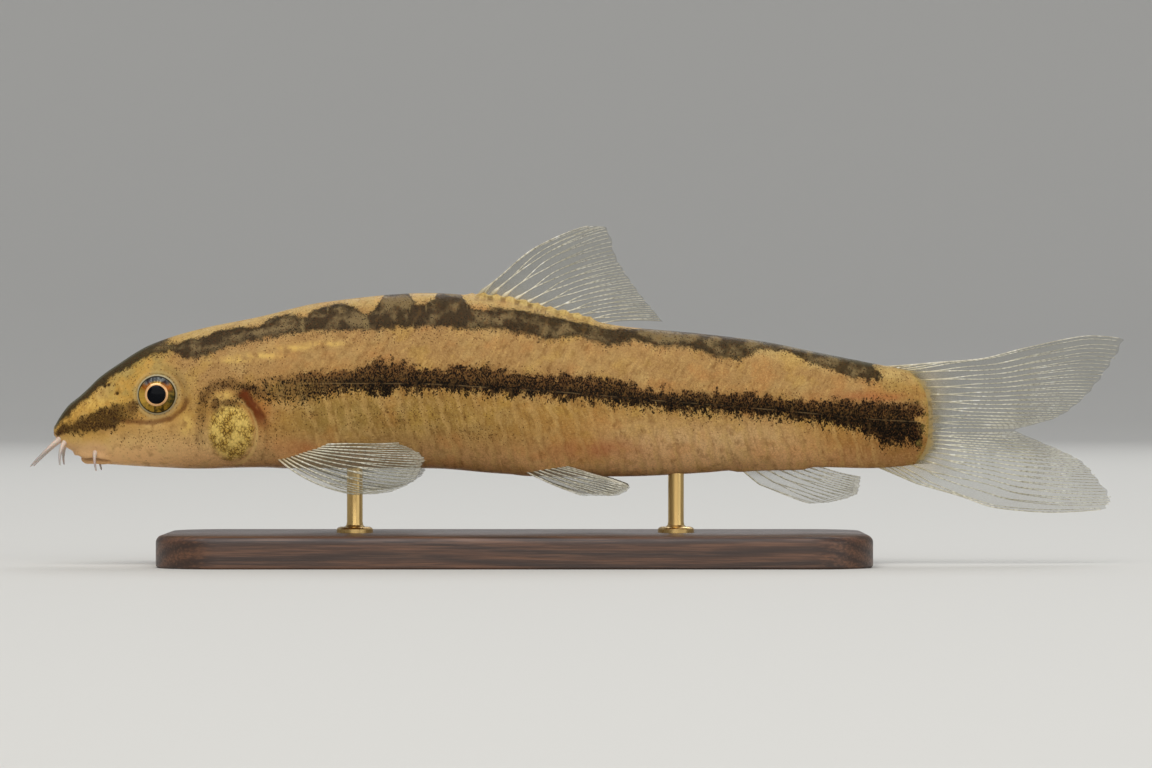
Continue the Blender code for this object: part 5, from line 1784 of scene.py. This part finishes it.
def web_faces():
    """Faces of both sides of a web and of the rim that joins them."""
    size, faces = WEB_COLUMNS * WEB_ROWS, []
    for first in range(0, size - WEB_ROWS, WEB_ROWS):
        for near in range(first, first + WEB_ROWS - 1):
            far = near + WEB_ROWS
            faces.append((near, far, far + 1, near + 1))
            faces.append((size + near, size + near + 1, size + far + 1, size + far))
    rim = [*range(0, size, WEB_ROWS), *range(size - WEB_ROWS + 1, size)]
    rim += [*range(size - WEB_ROWS - 1, 0, -WEB_ROWS), *range(WEB_ROWS - 2, 0, -1)]
    for here, there in zip(rim, rim[1:] + rim[:1]):
        faces.append((here, size + here, size + there, there))
    return faces


class LOACH_OT_fin_webs(bpy.types.Operator):
    """Makes the thin clear web of every fin"""

    bl_idname = "loach.fin_webs"
    bl_label = "Fin webs"

    def execute(self, context):
        finish = web_material(context.scene.loach_colours)
        faces = web_faces()
        for name, shape in fin_shapes().items():
            points, reaches = web_grid(shape, context.scene.loach_sizes.web_thickness)
            web = new_mesh_object(f"{name}_web", placed(points), faces, finish)
            add_value(web.data, "reach", reaches)
            finish_piece(web, "fin", name)
        return {"FINISHED"}


def walnut_material(stand):
    made, wiring = new_material("satin_walnut")
    bend = wiring.noise(wiring.stretched(16, 50, 50), 2.0)
    parts = wiring.node("ShaderNodeSeparateXYZ", {"Vector": wiring.place()}).outputs
    across = wiring.plus(wiring.times(parts["Y"], 300.0), wiring.times(parts["Z"], 700.0))
    rings = wiring.sum("PINGPONG", wiring.plus(across, wiring.times(bend, 6.0)), 0.5)
    fibres = wiring.noise(wiring.stretched(160, 5200, 5200), 4.0, 0.6)
    colour = wiring.paint(
        wiring.mix((rings, 0.0, 0.5), stand.walnut, stand.walnut_dark),
        (0.6, stand.walnut_dark, (fibres, 0.45, 0.62)),
        (0.25, tint(134, 92, 62), (fibres, 0.5, 0.34)),
    )
    values = {
        "Base Color": colour,
        "Roughness": wiring.band(fibres, 0.3, 0.7, 0.34, 0.5),
        "Normal": wiring.bump(fibres, 0.3, 0.00008),
        "Coat Weight": 0.12,
        "Coat Roughness": 0.25,
    }
    return finish_material(made, wiring, values)


def brass_material(stand):
    made, wiring = new_material("brushed_brass")
    grain = wiring.group(grain_group(), Vector=wiring.stretched(1, 1, 0.05), Fineness=9000.0)
    values = {
        "Base Color": wiring.tone(stand.brass, 0.4, tint(176, 140, 84), grain["Mask"]),
        "Roughness": wiring.band(grain["Mask"], 0.0, 1.0, 0.22, 0.36),
        "Normal": wiring.bump(grain["Height"], 0.15, 0.00003),
        "Metallic": 1.0,
    }
    return finish_material(made, wiring, values)


class LOACH_OT_stand_base(bpy.types.Operator):
    """Makes the stand's walnut plate with round corners and a softened edge"""

    bl_idname = "loach.stand_base"
    bl_label = "Stand base"

    def execute(self, context):
        stand = context.scene.loach_stand
        low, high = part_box("stand_base")
        corner, bevel = BASE_CORNER * MM, stand.bevel * MM
        half_x, half_y = (high.x - low.x) / 2, (high.y - low.y) / 2
        profile = [(0.0, FOOT_EDGE * bevel), (FOOT_EDGE * bevel, 0.0), (high.z - bevel, 0.0)]
        for step in range(1, BASE_EDGE_STEPS + 1):
            turn = math.pi / 2 * step / BASE_EDGE_STEPS
            profile.append((high.z - bevel + bevel * math.sin(turn), bevel * (1 - math.cos(turn))))
        points = []
        for z, inset in profile:
            for quarter, (sign_x, sign_y) in enumerate(((1, 1), (-1, 1), (-1, -1), (1, -1))):
                for step in range(BASE_CORNER_STEPS + 1):
                    turn = math.pi / 2 * (quarter + step / BASE_CORNER_STEPS)
                    x = sign_x * (half_x - corner) + (corner - inset) * math.cos(turn)
                    y = sign_y * (half_y - corner) + (corner - inset) * math.sin(turn)
                    points.append((x, y, z))
        faces = tube_faces(len(profile), len(points) // len(profile))
        base = new_mesh_object("walnut_base", points, faces, walnut_material(stand))
        base.data.set_sharp_from_angle(angle=math.radians(BASE_CREASE))
        finish_piece(base, "stand_wood", "stand_base")
        return {"FINISHED"}


def turned(profile, sides, centre):
    """Points round an upright axis at each (radius, height) of a profile."""
    turns = [2 * math.pi * step / sides for step in range(sides)]
    return [
        (centre.x + radius * math.cos(turn), centre.y + radius * math.sin(turn), z)
        for radius, z in profile
        for turn in turns
    ]


class LOACH_OT_stand_rods(bpy.types.Operator):
    """Makes the two brass rods, each with a collar on the base"""

    bl_idname = "loach.stand_rods"
    bl_label = "Stand rods"

    def execute(self, context):
        stand = context.scene.loach_stand
        finish = brass_material(stand)
        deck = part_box("stand_base")[1].z
        collar, tall, sunk = stand.collar * MM, stand.collar_height * MM, deck - COLLAR_SUNK * MM
        for word in ("front", "rear"):
            low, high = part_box(f"stand_rod_{word}")
            centre, radius = (low + high) / 2, (high.x - low.x) / 2
            profile = [(radius, low.z), (radius, sunk), (collar, sunk)]
            profile += [(collar - inset * MM, deck + share * tall) for inset, share in COLLAR_EDGE]
            profile += [(radius + wider * MM, deck + share * tall) for wider, share in COLLAR_HOLLOW]
            profile.append((radius, high.z))
            faces = tube_faces(len(profile), ROD_SIDES)
            rod = new_mesh_object(f"brass_rod_{word}", turned(profile, ROD_SIDES, centre), faces, finish)
            rod.data.set_sharp_from_angle(angle=math.radians(ROD_CREASE))
            finish_piece(rod, "stand_metal", f"stand_rod_{word}")
        return {"FINISHED"}


def floor_material(stage):
    made, wiring = new_material("pale_floor")
    soft = wiring.noise(wiring.stretched(3, 3, 3), 2.0)
    values = {
        "Base Color": wiring.tone(stage.floor, 0.12, tint(198, 196, 190), soft),
        "Roughness": 0.7,
        "Specular IOR Level": 0.2,
    }
    return finish_material(made, wiring, values)


def add_light(name, place, size, power, colour):
    """A square light that faces the fish."""
    lamp = bpy.data.lights.new(name, "AREA")
    lamp.size = size
    lamp.energy = power
    lamp.color = colour
    made = bpy.data.objects.new(name, lamp)
    made.location = place
    aim = Vector(LIGHT_AIM) - made.location
    made.rotation_euler = aim.to_track_quat("-Z", "Y").to_euler()
    bpy.context.scene.collection.objects.link(made)


class LOACH_OT_stage(bpy.types.Operator):
    """Sets up the pale floor that curves up all round, the lights and the camera"""

    bl_idname = "loach.stage"
    bl_label = "Stage"

    def execute(self, context):
        scene, stage = context.scene, context.scene.loach_stage
        profile = [(FLOOR_FLAT * step / FLOOR_RINGS, 0.0) for step in range(1, FLOOR_RINGS + 1)]
        for step in range(1, CURVE_RINGS + 1):
            turn = math.pi / 2 * step / CURVE_RINGS
            profile.append((FLOOR_FLAT + FLOOR_CURVE * math.sin(turn), FLOOR_CURVE * (1 - math.cos(turn))))
        points = [(0.0, 0.0, 0.0)] + turned(profile, FLOOR_SIDES, Vector((0.0, 0.0, 0.0)))
        faces = [(0, 1 + step, 1 + (step + 1) % FLOOR_SIDES) for step in range(FLOOR_SIDES)]
        rings = ring_faces(len(profile), FLOOR_SIDES)
        faces += [tuple(corner + 1 for corner in reversed(face)) for face in rings]
        mesh = bpy.data.meshes.new("floor")
        mesh.from_pydata(points, [], faces)
        mesh.materials.append(floor_material(stage))
        mesh.shade_smooth()
        floor = bpy.data.objects.new("floor", mesh)
        scene.collection.objects.link(floor)

        for name, (place, size, colour) in LIGHTS.items():
            add_light(name, place, size, getattr(stage, f"{name}_power"), colour)
        world = bpy.data.worlds.new("studio")
        world.use_nodes = True
        world.node_tree.nodes["Background"].inputs["Color"].default_value = SKY_COLOUR
        world.node_tree.nodes["Background"].inputs["Strength"].default_value = SKY_STRENGTH
        scene.world = world
        scene.view_settings.view_transform = "Standard"

        lens = bpy.data.cameras.new("camera")
        lens.lens = stage.lens
        lens.sensor_width = SENSOR_WIDTH
        lens.clip_start, lens.clip_end = CAMERA_CLIP
        distance = stage.lens / lens.sensor_width * VIEW_WIDTH * MM
        camera = bpy.data.objects.new("camera", lens)
        x = (VIEW_ALONG - BASE_CENTRE_ALONG) * MM
        camera.location = (x, -distance, (VIEW_HEIGHT + SNOUT_ABOVE_FLOOR) * MM)
        camera.rotation_euler = (math.pi / 2, 0.0, 0.0)
        scene.collection.objects.link(camera)
        scene.camera = camera
        return {"FINISHED"}


OPERATORS = (
    LOACH_OT_stage,
    LOACH_OT_skin,
    LOACH_OT_tail_sleeve,
    LOACH_OT_eyes,
    LOACH_OT_barbels,
    LOACH_OT_fin_rays,
    LOACH_OT_fin_webs,
    LOACH_OT_stand_base,
    LOACH_OT_stand_rods,
)


class LOACH_PT_build(bpy.types.Panel):
    """Lists the steps that build the model"""

    bl_label = "Loach"
    bl_idname = "LOACH_PT_build"
    bl_space_type = "VIEW_3D"
    bl_region_type = "UI"
    bl_category = "Loach"

    def draw(self, context):
        for operator in OPERATORS:
            self.layout.operator(operator.bl_idname)


GROUPS = {
    "loach_sizes": LoachSizes,
    "loach_colours": LoachColours,
    "loach_stand": LoachStand,
    "loach_stage": LoachStage,
}


def register():
    for group in GROUPS.values():
        bpy.utils.register_class(group)
    for name, group in GROUPS.items():
        setattr(bpy.types.Scene, name, PointerProperty(type=group))
    for step in (*OPERATORS, LOACH_PT_build):
        bpy.utils.register_class(step)


def unregister():
    for step in (LOACH_PT_build, *reversed(OPERATORS)):
        bpy.utils.unregister_class(step)
    for name, group in GROUPS.items():
        delattr(bpy.types.Scene, name)
        bpy.utils.unregister_class(group)


def main():
    register()
    bpy.ops.loach.stage()
    bpy.ops.loach.skin()
    bpy.ops.loach.tail_sleeve()
    bpy.ops.loach.eyes()
    bpy.ops.loach.barbels()
    bpy.ops.loach.fin_rays()
    bpy.ops.loach.fin_webs()
    bpy.ops.loach.stand_base()
    bpy.ops.loach.stand_rods()


if __name__ == "__main__":
    main()
